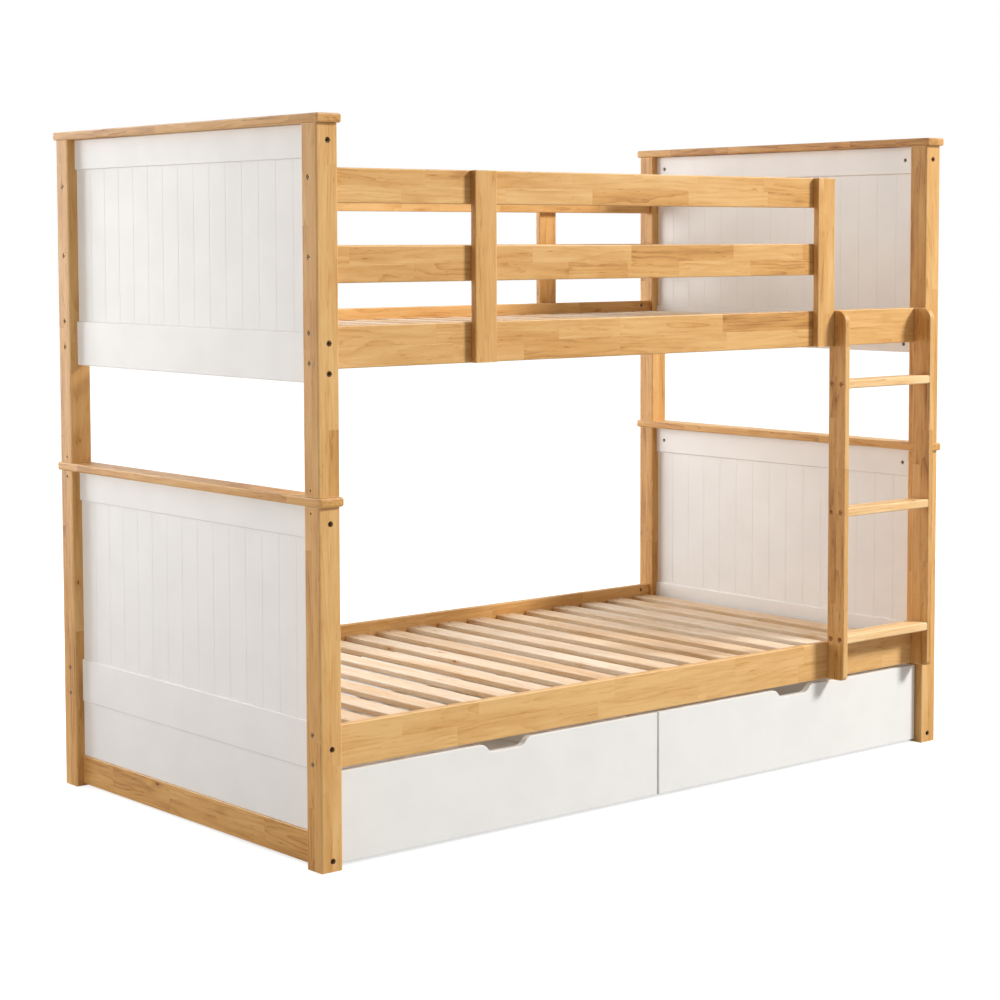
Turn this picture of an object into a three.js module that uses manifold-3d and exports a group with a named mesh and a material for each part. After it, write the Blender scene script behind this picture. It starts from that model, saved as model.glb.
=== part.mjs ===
// Bunk bed with two drawers under the lower bunk, a side ladder and guard rails.
// Millimetres. X runs along the bed, the ladder and drawers are at the front (-Y), Z is up from the floor.
import * as THREE from 'three';
import { mergeVertices } from 'three/addons/utils/BufferGeometryUtils.js';
import Module from 'manifold-3d';

const wasm = await Module();
wasm.setup();

// Whole bed, measured over the posts
const bedLength = 2020;
const bedDepth = 1093;

// Gaps between pieces
const joinGap = 0.3; // between pieces that are bolted, glued or stacked
const runningGap = 3; // round what rolls or slides

// Posts
const postSide = 55;
const postEase = 4;
const lowerPostHeight = 783;
const upperPostHeight = 787;
const pinRadius = 7; // stacking pin on each lower post
const pinRise = 48; // above the lower post
const pinRoot = 10; // below the lower post's top
const pinHeadroom = 2; // above the pin in the upper post
const pinClearance = 0.4;

// Caps across the ends
const capThickness = 20;
const capOverEnds = 10; // past the posts, front and rear
const capOverSides = 4; // past the posts, along X
const capEase = 6.5;

// End rails and panels, painted
const endSetback = 20; // from the post's outer face to the rail's outer face
const endRailThickness = 18;
const endRailEase = 2.5;
const endTopRailHeight = 72;
const upperEndBottomRailLift = 240; // above the middle cap
const upperEndBottomRailHeight = 107;
const lowerEndBottomRailLift = 212; // above the floor
const lowerEndBottomRailHeight = 105;
const beadboardThickness = 8;
const beadboardCount = 15;
const beadWidth = 5;
const beadDepth = 2;
const tongueLength = 8;
const grooveClearance = 0.4;
const skirtThickness = 12;
const skirtEase = 1;
const stretcherLift = 5;
const stretcherHeight = 71;
const stretcherBoltHeight = 23;

// Side rails and guard rails
const sideSetback = 21; // from the post's outer face to the rail's outer face
const sideRailThickness = 20;
const sideRailEase = 3;
const lowerSideRailLift = 216; // above the floor
const lowerSideRailHeight = 94;
const upperSideRailLift = 270; // above the middle cap
const upperSideRailHeight = 91;
const guardMidRailHeight = 79;
const guardTopRailHeight = 75;
const guardGap = 90.5; // between one rail and the next
const stileWidth = 62;
const stileThickness = 18;
const stileEase = 3;
const leftStileFromPost = 376; // clear distance

// Bolts and barrel nuts
const boltPocketRadius = 5.2;
const boltPocketDepth = 14;
const boltPitch = 64; // where a rail end has two bolts
const guardBoltAboveCentre = 16;
const nutHoleRadius = 5;
const nutHoleDepth = 14;
const nutFromRailEnd = 32;
const lockScrewRadius = 2.6;
const lockScrewDepth = 8;
const lockScrewFromCap = 14;

// Slat decks
const slatCount = 18;
const slatWidth = 60;
const slatsFromLadderEnd = 5; // clear distance from the last slat to the posts
const slatsFromOtherEnd = 30;
const slatThickness = 14;
const slatEase = 2.5;
const slatEndGap = 1.5; // from a slat's end to the side rail
const slatBelowRailTop = 30;
const cleatWidth = 24;
const cleatHeight = 30;
const slatHousing = 1; // how far a slat is let into its cleat

// Ladder
const ladderWidth = 349; // over the uprights
const uprightThickness = 17;
const uprightDepth = 56;
const uprightTopRadius = 30;
const uprightFootRadius = 12;
const uprightEase = 2;
const rungCount = 3;
const rungThickness = 22;
const rungDepth = 54;
const rungEase = 4;
const rungPitch = 328;
const topRungBelowRailTop = 187; // from the rail's top edge to the rung's middle
const rungHousing = 6; // how far a rung is let into each upright

// Drawers
const drawerFrontLift = 8;
const drawerFrontThickness = 18;
const drawerFrontEase = 1.5;
const drawerTopGap = 7; // to the lower side rail
const middleGap = 6; // between the two fronts
const notchWidth = 130;
const notchFloorWidth = 96;
const notchDepth = 20;
const notchRound = 12;
const notchRoundShare = 0.45; // the most of a slope that one rounded corner takes
const boxDepth = 700; // behind the front
const boxLift = 38;
const boxHeight = 150;
const boxSideInset = 14; // from the end of the front to the side's outer face
const boxThickness = 12;
const boxEase = 2;
const bottomThickness = 9;
const bottomLift = 8; // above the lower edge of the sides
const dadoDepth = 5;
const dadoClearance = 0.5;

// Casters
const wheelRadius = 18;
const wheelWidth = 15;
const wheelTreadEase = 2.5;
const wheelWebThickness = 5;
const hubRadius = 7;
const wheelFlare = 1; // how far the hub and rim widen towards the web
const rimThickness = 4.5;
const wheelFloorGap = 0.3;
const axleRadius = 3;
const axleClearance = 0.4;
const axleHeadRadius = 4.8;
const axleHeadThickness = 1.8;
const forkThickness = 2.5;
const forkSideGap = 0.6; // between the wheel and each cheek
const forkTopWidth = 34;
const forkEyeRadius = 7.5;
const forkPlateWidth = 38;
const forkPlateLength = 50;
const forkPlateThickness = 2.5;
const forkPlateRadius = 6;
const forkPlateSink = 0.5; // how far the plate is pressed into the drawer's bottom
const casterInset = 62; // from the box's corner to the wheel's middle

// Facets: an arc drawn with n steps has 2n facets
const easeSteps = 1;
const uprightSteps = 3;
const notchSteps = 4;
const cheekSteps = 3;
const pocketSides = 10;
const nutSides = 8;
const lockSides = 6;
const pinSides = 10;
const axleSides = 8;
const wheelSides = 12;

// Levels above the floor that follow from the sizes
const midCapBottom = lowerPostHeight + joinGap;
const midCapTop = midCapBottom + capThickness;
const upperPostBottom = midCapTop + joinGap;
const upperPostTop = upperPostBottom + upperPostHeight;
const lowerSideRailTop = lowerSideRailLift + lowerSideRailHeight;
const upperSideRailBottom = midCapTop + upperSideRailLift;
const upperSideRailTop = upperSideRailBottom + upperSideRailHeight;
const guardMidBottom = upperSideRailTop + guardGap;
const guardTopBottom = guardMidBottom + guardMidRailHeight + guardGap;
const guardTop = guardTopBottom + guardTopRailHeight;

// Plan positions that follow from the sizes
const halfLength = bedLength / 2;
const halfDepth = bedDepth / 2;
const postX = halfLength - postSide / 2;
const postY = halfDepth - postSide / 2;
const spanX = bedLength - 2 * postSide; // clear between posts
const spanY = bedDepth - 2 * postSide;
const endRailX = halfLength - endSetback - endRailThickness / 2;
const sideRailY = halfDepth - sideSetback - sideRailThickness / 2;
const sideRailFaceY = halfDepth - sideSetback;
const uprightFrontY = sideRailFaceY + joinGap + uprightDepth;

const finish = (name, color, roughness) => (
  new THREE.MeshStandardMaterial({ name, color, roughness, metalness: 0 }));
const natural = finish('natural_wood', 0xd8a765, 0.45);
const painted = finish('white_paint', 0xf0eeea, 0.4);
const slatWood = finish('slat_wood', 0xe9d3b8, 0.6);
const boxBoard = finish('box_board', 0xe4e1dc, 0.5);
const wheelPlastic = finish('wheel_plastic', 0x2e2f31, 0.5);

// Solids

const cutterOver = 1; // how far a cutter starts outside the face that it enters

function toSolid(geometry) {
  const bare = geometry.clone();
  bare.deleteAttribute('normal');
  bare.deleteAttribute('uv');
  const merged = mergeVertices(bare, 1e-4);
  return new wasm.Manifold(new wasm.Mesh({
    numProp: 3,
    vertProperties: merged.attributes.position.array,
    triVerts: new Uint32Array(merged.index.array),
  }));
}

function toGeometry(solid) {
  const { vertProperties, triVerts } = solid.getMesh();
  const geometry = new THREE.BufferGeometry();
  geometry.setAttribute('position', new THREE.BufferAttribute(vertProperties, 3));
  geometry.setIndex(new THREE.BufferAttribute(triVerts, 1));
  return geometry;
}

function cut(geometry, cutters) {
  const whole = cutters.reduce((left, cutter) => left.subtract(toSolid(cutter)), toSolid(geometry));
  return toGeometry(whole);
}

function join(...geometries) {
  return toGeometry(geometries.map(toSolid).reduce((left, right) => left.add(right)));
}

function piece(name, geometry, material, x = 0, y = 0, z = 0) {
  const flat = geometry.index ? geometry.toNonIndexed() : geometry;
  flat.computeVertexNormals();
  const mesh = new THREE.Mesh(flat, material);
  mesh.name = name;
  mesh.position.set(x, y, z);
  return mesh;
}

function group(...members) {
  const holder = new THREE.Group();
  holder.add(...members.flat());
  return holder;
}

// Turns an extrusion, which runs along Z, to run along the named axis
const unitX = new THREE.Vector3(1, 0, 0);
const unitY = new THREE.Vector3(0, 1, 0);
const unitZ = new THREE.Vector3(0, 0, 1);
const runAlong = {
  x: new THREE.Matrix4().makeBasis(unitY, unitZ, unitX),
  y: new THREE.Matrix4().makeBasis(unitZ, unitX, unitY),
  z: new THREE.Matrix4(),
};

function easedRectangle(width, height, ease) {
  const [w, h] = [width / 2, height / 2];
  const shape = new THREE.Shape();
  shape.moveTo(-w + ease, -h);
  shape.lineTo(w - ease, -h);
  shape.absarc(w - ease, -h + ease, ease, -Math.PI / 2, 0, false);
  shape.lineTo(w, h - ease);
  shape.absarc(w - ease, h - ease, ease, 0, Math.PI / 2, false);
  shape.lineTo(-w + ease, h);
  shape.absarc(-w + ease, h - ease, ease, Math.PI / 2, Math.PI, false);
  shape.lineTo(-w, -h + ease);
  shape.absarc(-w + ease, -h + ease, ease, Math.PI, 1.5 * Math.PI, false);
  return shape;
}

// A bar of size x, y, z, centred, with the four edges along its run rounded
function bar(x, y, z, run, ease) {
  const across = { x: [y, z], y: [z, x], z: [x, y] }[run];
  const length = { x, y, z }[run];
  const outline = easedRectangle(...across, ease);
  const geometry = new THREE.ExtrudeGeometry(outline, {
    depth: length,
    bevelEnabled: false,
    curveSegments: easeSteps,
  });
  geometry.translate(0, 0, -length / 2);
  return geometry.applyMatrix4(runAlong[run]);
}

// A board cut to an outline, centred on its thickness, with both faces' edges bevelled
function board(outline, thickness, ease, run, curveSegments) {
  const geometry = new THREE.ExtrudeGeometry(outline, {
    depth: thickness - 2 * ease,
    bevelThickness: ease,
    bevelSize: ease,
    bevelOffset: -ease,
    bevelSegments: 1,
    curveSegments,
  });
  geometry.translate(0, 0, ease - thickness / 2);
  return geometry.applyMatrix4(runAlong[run]);
}

function box(x, y, z, centreX = 0, centreY = 0, centreZ = 0) {
  return new THREE.BoxGeometry(x, y, z).translate(centreX, centreY, centreZ);
}

// A round cutter that enters a face at a point and goes in along a direction
function drill(radius, depth, point, direction, sides) {
  const cylinder = new THREE.CylinderGeometry(radius, radius, depth + cutterOver, sides);
  cylinder.translate(0, (depth - cutterOver) / 2, 0);
  cylinder.applyQuaternion(new THREE.Quaternion().setFromUnitVectors(unitY, direction));
  return cylinder.translate(point.x, point.y, point.z);
}

// Bolts along a rail's height, as heights above the floor

const pair = (middle) => [middle - boltPitch / 2, middle + boltPitch / 2];
const lowerSideBolts = pair(lowerSideRailLift + lowerSideRailHeight / 2);
const upperSideBolts = pair(upperSideRailBottom + upperSideRailHeight / 2);
const guardMidBolts = [guardMidBottom + guardMidRailHeight / 2 + guardBoltAboveCentre];
const guardTopBolts = [guardTopBottom + guardTopRailHeight / 2 + guardBoltAboveCentre];
const lowerEndTopBolts = [lowerPostHeight - endTopRailHeight / 2];
const lowerEndBottomBolts = [lowerEndBottomRailLift + lowerEndBottomRailHeight / 2];
const stretcherBolts = [stretcherBoltHeight];
const upperEndTopBolts = [upperPostTop - endTopRailHeight / 2];
const upperEndBottomBolts = pair(midCapTop + upperEndBottomRailLift + upperEndBottomRailHeight / 2);

// Posts

// Pockets for the bolt heads on a post's two outer faces, with heights above the post's own foot
function postPockets(sx, sy, sideHeights, endHeights, lockHeights) {
  const half = postSide / 2;
  const sideY = sy * (sideRailY - postY);
  const endX = sx * (endRailX - postX);
  const outerX = new THREE.Vector3(-sx, 0, 0);
  const outerY = new THREE.Vector3(0, -sy, 0);
  const onSide = sideHeights.map((z) => (
    drill(boltPocketRadius, boltPocketDepth, new THREE.Vector3(sx * half, sideY, z), outerX, pocketSides)));
  const onEnd = endHeights.map((z) => (
    drill(boltPocketRadius, boltPocketDepth, new THREE.Vector3(endX, sy * half, z), outerY, pocketSides)));
  const locks = lockHeights.map((z) => (
    drill(lockScrewRadius, lockScrewDepth, new THREE.Vector3(sx * half, sideY, z), outerX, lockSides)));
  return [...onSide, ...onEnd, ...locks];
}

function lowerPost(sx, sy) {
  const shaft = bar(postSide, postSide, lowerPostHeight, 'z', postEase);
  shaft.translate(0, 0, lowerPostHeight / 2);
  const pin = new THREE.CylinderGeometry(pinRadius, pinRadius, pinRise + pinRoot, pinSides);
  pin.rotateX(Math.PI / 2).translate(0, 0, lowerPostHeight + (pinRise - pinRoot) / 2);
  const pockets = postPockets(
    sx,
    sy,
    lowerSideBolts,
    [...stretcherBolts, ...lowerEndBottomBolts, ...lowerEndTopBolts],
    [lowerPostHeight - lockScrewFromCap],
  );
  return cut(join(shaft, pin), pockets);
}

function upperPost(sx, sy) {
  const shaft = bar(postSide, postSide, upperPostHeight, 'z', postEase);
  shaft.translate(0, 0, upperPostHeight / 2);
  const aboveFoot = (heights) => heights.map((z) => z - upperPostBottom);
  const pockets = postPockets(
    sx,
    sy,
    aboveFoot([...upperSideBolts, ...guardMidBolts, ...guardTopBolts]),
    aboveFoot([...upperEndBottomBolts, ...upperEndTopBolts]),
    [lockScrewFromCap],
  );
  const pinDepth = pinRise - capThickness + pinHeadroom;
  const pinHole = drill(pinRadius + pinClearance, pinDepth, new THREE.Vector3(), unitZ, pinSides);
  return cut(shaft, [...pockets, pinHole]);
}

// Caps

function cap(pinned) {
  const width = postSide + 2 * capOverSides;
  const length = bedDepth + 2 * capOverEnds;
  const plank = bar(width, length, capThickness, 'y', capEase);
  if (!pinned) return plank;
  const holes = [-postY, postY].map((y) => {
    const foot = new THREE.Vector3(0, y, -capThickness / 2);
    return drill(pinRadius + pinClearance, capThickness + cutterOver, foot, unitZ, pinSides);
  });
  return cut(plank, holes);
}

// End rails and panels. Local X points out of the bed, so one piece serves the right end as it is.

function nutHoles(heights, run, length, faceOffset, inward) {
  const places = [-1, 1].map((side) => side * (length / 2 - nutFromRailEnd));
  return heights.flatMap((z) => places.map((along) => {
    const [x, y] = run === 'x' ? [along, faceOffset] : [faceOffset, along];
    return drill(nutHoleRadius, nutHoleDepth, new THREE.Vector3(x, y, z), inward, nutSides);
  }));
}

function endRail(height, boltHeights, sx) {
  const length = spanY - 2 * joinGap;
  const rail = bar(endRailThickness, length, height, 'y', endRailEase);
  const inward = new THREE.Vector3(sx, 0, 0);
  return cut(rail, nutHoles(boltHeights, 'y', length, -sx * endRailThickness / 2, inward));
}

function endTopRail(sx) {
  const grooveDepth = tongueLength + grooveClearance;
  const grooveWidth = beadboardThickness + 2 * grooveClearance;
  const groove = box(grooveWidth, spanY, 2 * grooveDepth, 0, 0, -endTopRailHeight / 2);
  return cut(endRail(endTopRailHeight, [0], sx), [groove]);
}

// Upright boards with a V bead between neighbours on both faces
function beadboardOutline(width) {
  const pitch = width / beadboardCount;
  const [half, face] = [width / 2, beadboardThickness / 2];
  const outline = new THREE.Shape();
  outline.moveTo(-half, -face);
  for (let i = 1; i < beadboardCount; i += 1) {
    const x = -half + i * pitch;
    outline.lineTo(x - beadWidth / 2, -face);
    outline.lineTo(x, beadDepth - face);
    outline.lineTo(x + beadWidth / 2, -face);
  }
  outline.lineTo(half, -face);
  outline.lineTo(half, face);
  for (let i = beadboardCount - 1; i > 0; i -= 1) {
    const x = -half + i * pitch;
    outline.lineTo(x + beadWidth / 2, face);
    outline.lineTo(x, face - beadDepth);
    outline.lineTo(x - beadWidth / 2, face);
  }
  outline.lineTo(-half, face);
  return outline;
}

// Beadboard glued into its bottom rail, with a tongue left free at the top. Z = 0 is the rail's lower edge.
function endPanel(railHeight, panelTop, boltHeights, sx) {
  const rail = endRail(railHeight, boltHeights.map((z) => z - railHeight / 2), sx);
  rail.translate(0, 0, railHeight / 2);
  const start = railHeight - tongueLength;
  const height = panelTop + tongueLength - start;
  const outline = beadboardOutline(spanY - 2 * joinGap);
  const beadboard = new THREE.ExtrudeGeometry(outline, { depth: height, bevelEnabled: false });
  beadboard.rotateZ(Math.PI / 2).translate(0, 0, start);
  return join(rail, beadboard);
}

function lowerEnd(side, sx) {
  const topRailBottom = lowerPostHeight - endTopRailHeight;
  const skirtBottom = stretcherLift + stretcherHeight + joinGap;
  const skirtHeight = lowerEndBottomRailLift - joinGap - skirtBottom;
  const panelTop = topRailBottom - lowerEndBottomRailLift;
  const panelBolts = lowerEndBottomBolts.map((z) => z - lowerEndBottomRailLift);
  const stretcherMiddle = stretcherLift + stretcherHeight / 2;
  const stretcher = endRail(stretcherHeight, stretcherBolts.map((z) => z - stretcherMiddle), sx);
  const skirt = bar(skirtThickness, spanY - 2 * joinGap, skirtHeight, 'y', skirtEase);
  const x = sx * endRailX;
  return group(
    piece(`stretcher_${side}`, stretcher, natural, x, 0, stretcherMiddle),
    piece(`skirt_${side}`, skirt, painted, x, 0, skirtBottom + skirtHeight / 2),
    piece(
      `lower_end_panel_${side}`,
      endPanel(lowerEndBottomRailHeight, panelTop, panelBolts, sx),
      painted,
      x,
      0,
      lowerEndBottomRailLift,
    ),
    piece(`lower_end_top_rail_${side}`, endTopRail(sx), painted, x, 0, topRailBottom + endTopRailHeight / 2),
  );
}

function upperEnd(side, sx) {
  const railBottom = midCapTop + upperEndBottomRailLift;
  const panelTop = upperPostTop - endTopRailHeight - railBottom;
  const panelBolts = upperEndBottomBolts.map((z) => z - railBottom);
  const x = sx * endRailX;
  return group(
    piece(
      `upper_end_panel_${side}`,
      endPanel(upperEndBottomRailHeight, panelTop, panelBolts, sx),
      painted,
      x,
      0,
      railBottom,
    ),
    piece(`upper_end_top_rail_${side}`, endTopRail(sx), painted, x, 0, upperPostTop - endTopRailHeight / 2),
  );
}

// Side rails, guards and slat decks

function sideRail(length, height, boltHeights, sy, bothEnds = true) {
  const rail = bar(length, sideRailThickness, height, 'x', sideRailEase);
  const inward = new THREE.Vector3(0, sy, 0);
  const holes = nutHoles(boltHeights, 'x', length, -sy * sideRailThickness / 2, inward);
  return cut(rail, bothEnds ? holes : holes.filter((_, i) => i % 2 === 0));
}

function sideRailPiece(name, sy, bottom, height, bolts) {
  const middle = bottom + height / 2;
  const geometry = sideRail(spanX - 2 * joinGap, height, bolts.map((z) => z - middle), sy);
  return piece(name, geometry, natural, 0, sy * sideRailY, middle);
}

// A slat's cross-section, with its two upper edges chamfered
function slatOutline() {
  const half = slatWidth / 2;
  const outline = new THREE.Shape();
  outline.moveTo(0, -half + slatEase);
  outline.lineTo(0, half - slatEase);
  outline.lineTo(-slatEase, half);
  outline.lineTo(-slatThickness, half);
  outline.lineTo(-slatThickness, -half);
  outline.lineTo(-slatEase, -half);
  return outline;
}

function slatDeck(name, railTop) {
  const slatTop = railTop - slatBelowRailTop;
  const deckWidth = 2 * (sideRailY - sideRailThickness / 2 - joinGap);
  const slatLength = deckWidth - 2 * slatEndGap;
  const firstX = -spanX / 2 + slatsFromOtherEnd + slatWidth / 2;
  const lastX = spanX / 2 - slatsFromLadderEnd - slatWidth / 2;
  const pitch = (lastX - firstX) / (slatCount - 1);
  const slats = Array.from({ length: slatCount }, (_, i) => (
    new THREE.ExtrudeGeometry(slatOutline(), { depth: slatLength, bevelEnabled: false })
      .applyMatrix4(runAlong.y)
      .translate(firstX + i * pitch, -slatLength / 2, 0)));
  const cleatZ = slatHousing - slatThickness - cleatHeight / 2;
  const cleatY = (deckWidth - cleatWidth) / 2;
  const cleatLength = spanX - 2 * joinGap;
  const cleats = [-1, 1].map((sy) => box(cleatLength, cleatWidth, cleatHeight, 0, sy * cleatY, cleatZ));
  return piece(name, join(...cleats, ...slats), slatWood, 0, 0, slatTop);
}

// The front guard stops at the ladder, where its right stile stands
const ladderRightX = spanX / 2 - capOverSides - joinGap; // clear of the middle cap
const ladderLeftX = ladderRightX - ladderWidth;
const rightStileX = ladderLeftX - joinGap - stileWidth / 2;
const leftStileX = -spanX / 2 + leftStileFromPost + stileWidth / 2;

function stile(name, x, sy) {
  const height = guardTop - upperSideRailBottom;
  const geometry = bar(stileWidth, stileThickness, height, 'z', stileEase);
  const y = sy * (sideRailFaceY + joinGap + stileThickness / 2);
  return piece(name, geometry, natural, x, y, upperSideRailBottom + height / 2);
}

function frontGuardRail(name, bottom, height, bolts) {
  const left = -spanX / 2 + joinGap;
  const right = rightStileX + stileWidth / 2;
  const middle = bottom + height / 2;
  const geometry = sideRail(right - left, height, bolts.map((z) => z - middle), -1, false);
  return piece(name, geometry, natural, (left + right) / 2, -sideRailY, middle);
}

// Ladder

// Side view of an upright: square at the back, rounded at the front of its head and foot
function uprightOutline(height) {
  const [head, foot] = [uprightTopRadius, uprightFootRadius];
  const outline = new THREE.Shape();
  outline.moveTo(0, 0);
  outline.lineTo(0, height);
  outline.lineTo(-uprightDepth + head, height);
  outline.absarc(-uprightDepth + head, height - head, head, Math.PI / 2, Math.PI, false);
  outline.lineTo(-uprightDepth, foot);
  outline.absarc(-uprightDepth + foot, foot, foot, Math.PI, 1.5 * Math.PI, false);
  return outline;
}

function ladder() {
  const foot = lowerSideRailLift;
  const height = upperSideRailTop - foot;
  const backY = -(sideRailFaceY + joinGap);
  const rungLength = ladderWidth - 2 * uprightThickness + 2 * rungHousing - 2 * joinGap;
  const rungY = backY - uprightDepth / 2;
  const rungHeights = Array.from({ length: rungCount }, (_, i) => (
    upperSideRailTop - topRungBelowRailTop - i * rungPitch));
  const housing = (sx, z) => bar(
    2 * rungHousing,
    rungDepth + 2 * joinGap,
    rungThickness + 2 * joinGap,
    'x',
    rungEase,
  ).translate(-sx * uprightThickness / 2, -uprightDepth / 2, z - foot);
  const upright = (sx) => {
    const blank = board(uprightOutline(height), uprightThickness, uprightEase, 'x', uprightSteps);
    return cut(blank, rungHeights.map((z) => housing(sx, z)));
  };
  const centreX = (ladderLeftX + ladderRightX) / 2;
  const uprightX = (ladderWidth - uprightThickness) / 2;
  const rungs = rungHeights.map((z, i) => {
    const rung = bar(rungLength, rungDepth, rungThickness, 'x', rungEase);
    return piece(`ladder_rung_${i + 1}`, rung, natural, 0, rungY, z);
  });
  const holder = group(
    piece('ladder_upright_left', upright(-1), natural, -uprightX, backY, foot),
    piece('ladder_upright_right', upright(1), natural, uprightX, backY, foot),
    rungs,
  );
  holder.position.x = centreX;
  return holder;
}

// Drawers and casters

const drawerFrontTop = lowerSideRailLift - drawerTopGap;
const drawerFrontHeight = drawerFrontTop - drawerFrontLift;
const drawerWidth = (spanX - 2 * runningGap - middleGap) / 2;
const boxWidth = drawerWidth - 2 * boxSideInset;
const boxInside = boxWidth - 2 * boxThickness;
const bottomZ = boxLift + bottomLift;

// A drawer front with a finger notch in the middle of its top edge
function drawerFrontOutline() {
  const [w, h] = [drawerWidth / 2, drawerFrontHeight / 2];
  const [a, b] = [notchWidth / 2, notchFloorWidth / 2];
  const floor = h - notchDepth;
  const slope = Math.hypot(a - b, notchDepth);
  const lean = (a - b) / slope;
  const rise = notchDepth / slope;
  const r = Math.min(notchRound, notchRoundShare * slope);
  const outline = new THREE.Shape();
  outline.moveTo(-w, -h);
  outline.lineTo(w, -h);
  outline.lineTo(w, h);
  outline.lineTo(a + r, h);
  outline.quadraticCurveTo(a, h, a - r * lean, h - r * rise);
  outline.lineTo(b + r * lean, floor + r * rise);
  outline.quadraticCurveTo(b, floor, b - r, floor);
  outline.lineTo(-b + r, floor);
  outline.quadraticCurveTo(-b, floor, -b - r * lean, floor + r * rise);
  outline.lineTo(-a + r * lean, h - r * rise);
  outline.quadraticCurveTo(-a, h, -a - r, h);
  outline.lineTo(-w, h);
  return outline;
}

// The front's board runs along Y, and its dado takes the bottom
function drawerFront() {
  const turned = board(drawerFrontOutline(), drawerFrontThickness, drawerFrontEase, 'z', notchSteps);
  turned.rotateX(Math.PI / 2);
  const dado = box(
    boxInside + 2 * dadoDepth,
    2 * dadoDepth,
    bottomThickness + 2 * dadoClearance,
    0,
    drawerFrontThickness / 2,
    bottomZ + bottomThickness / 2 - (drawerFrontLift + drawerFrontHeight / 2),
  );
  return cut(turned, [dado]);
}

// One side or the back: a bar with a dado on the face that looks into the drawer
function boxWall(x, y, run, inwardX, inwardY) {
  const blank = bar(x, y, boxHeight, run, boxEase);
  const dado = box(
    inwardX ? 2 * dadoDepth : x + 2 * cutterOver,
    inwardY ? 2 * dadoDepth : y + 2 * cutterOver,
    bottomThickness + 2 * dadoClearance,
    inwardX * x / 2,
    inwardY * y / 2,
    bottomLift + bottomThickness / 2 - boxHeight / 2,
  );
  return cut(blank, [dado]);
}

// Caster bracket under the bottom: plate, two cheeks and the axle. Z = 0 is the plate's top, the wheel
// stands at the origin in plan.
const plateTop = bottomZ;
const axleZ = wheelRadius + wheelFloorGap;

function cheekOutline(axleDrop) {
  const outline = new THREE.Shape();
  const angle = Math.atan2(forkTopWidth / 2 - forkEyeRadius, axleDrop);
  outline.moveTo(forkTopWidth / 2, 0);
  outline.lineTo(-forkTopWidth / 2, 0);
  outline.absarc(0, -axleDrop, forkEyeRadius, Math.PI + angle, 2 * Math.PI - angle, false);
  return outline;
}

function casterBracket() {
  const axleDrop = plateTop - axleZ;
  const outline = easedRectangle(forkPlateWidth, forkPlateLength, forkPlateRadius);
  const plate = new THREE.ExtrudeGeometry(outline, {
    depth: forkPlateThickness + forkPlateSink,
    bevelEnabled: false,
    curveSegments: easeSteps,
  }).translate(0, 0, -forkPlateThickness);
  const cheekX = wheelWidth / 2 + forkSideGap + forkThickness / 2;
  const cheeks = [-1, 1].map((sx) => {
    const cheek = new THREE.ExtrudeGeometry(cheekOutline(axleDrop), {
      depth: forkThickness,
      bevelEnabled: false,
      curveSegments: cheekSteps,
    });
    return cheek.translate(0, 0, -forkThickness / 2).applyMatrix4(runAlong.x).translate(sx * cheekX, 0, 0);
  });
  const axleLength = 2 * cheekX + forkThickness;
  const axle = new THREE.CylinderGeometry(axleRadius, axleRadius, axleLength, axleSides).rotateZ(Math.PI / 2);
  const headX = axleLength / 2;
  const heads = [-1, 1].map((sx) => (
    new THREE.CylinderGeometry(axleHeadRadius, axleHeadRadius, 2 * axleHeadThickness, axleSides)
      .rotateZ(Math.PI / 2)
      .translate(sx * headX, 0, 0)));
  const pin = [axle, ...heads].map((part) => part.translate(0, 0, -axleDrop));
  return join(plate, ...cheeks, ...pin);
}

// Half section of the wheel, radius along X and width along Y: tread, rim, web and hub round the bore
function wheel() {
  const [w, web, bore] = [wheelWidth / 2, wheelWebThickness / 2, axleRadius + axleClearance];
  const rim = wheelRadius - rimThickness;
  const profile = [
    [bore, -w],
    [hubRadius, -w],
    [hubRadius + wheelFlare, -web],
    [rim - wheelFlare, -web],
    [rim, -w],
    [wheelRadius - wheelTreadEase, -w],
    [wheelRadius, wheelTreadEase - w],
    [wheelRadius, w - wheelTreadEase],
    [wheelRadius - wheelTreadEase, w],
    [rim, w],
    [rim - wheelFlare, web],
    [hubRadius + wheelFlare, web],
    [hubRadius, w],
    [bore, w],
    [bore, -w],
  ].map(([radius, height]) => new THREE.Vector2(radius, height));
  return new THREE.LatheGeometry(profile, wheelSides).rotateZ(Math.PI / 2);
}

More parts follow.
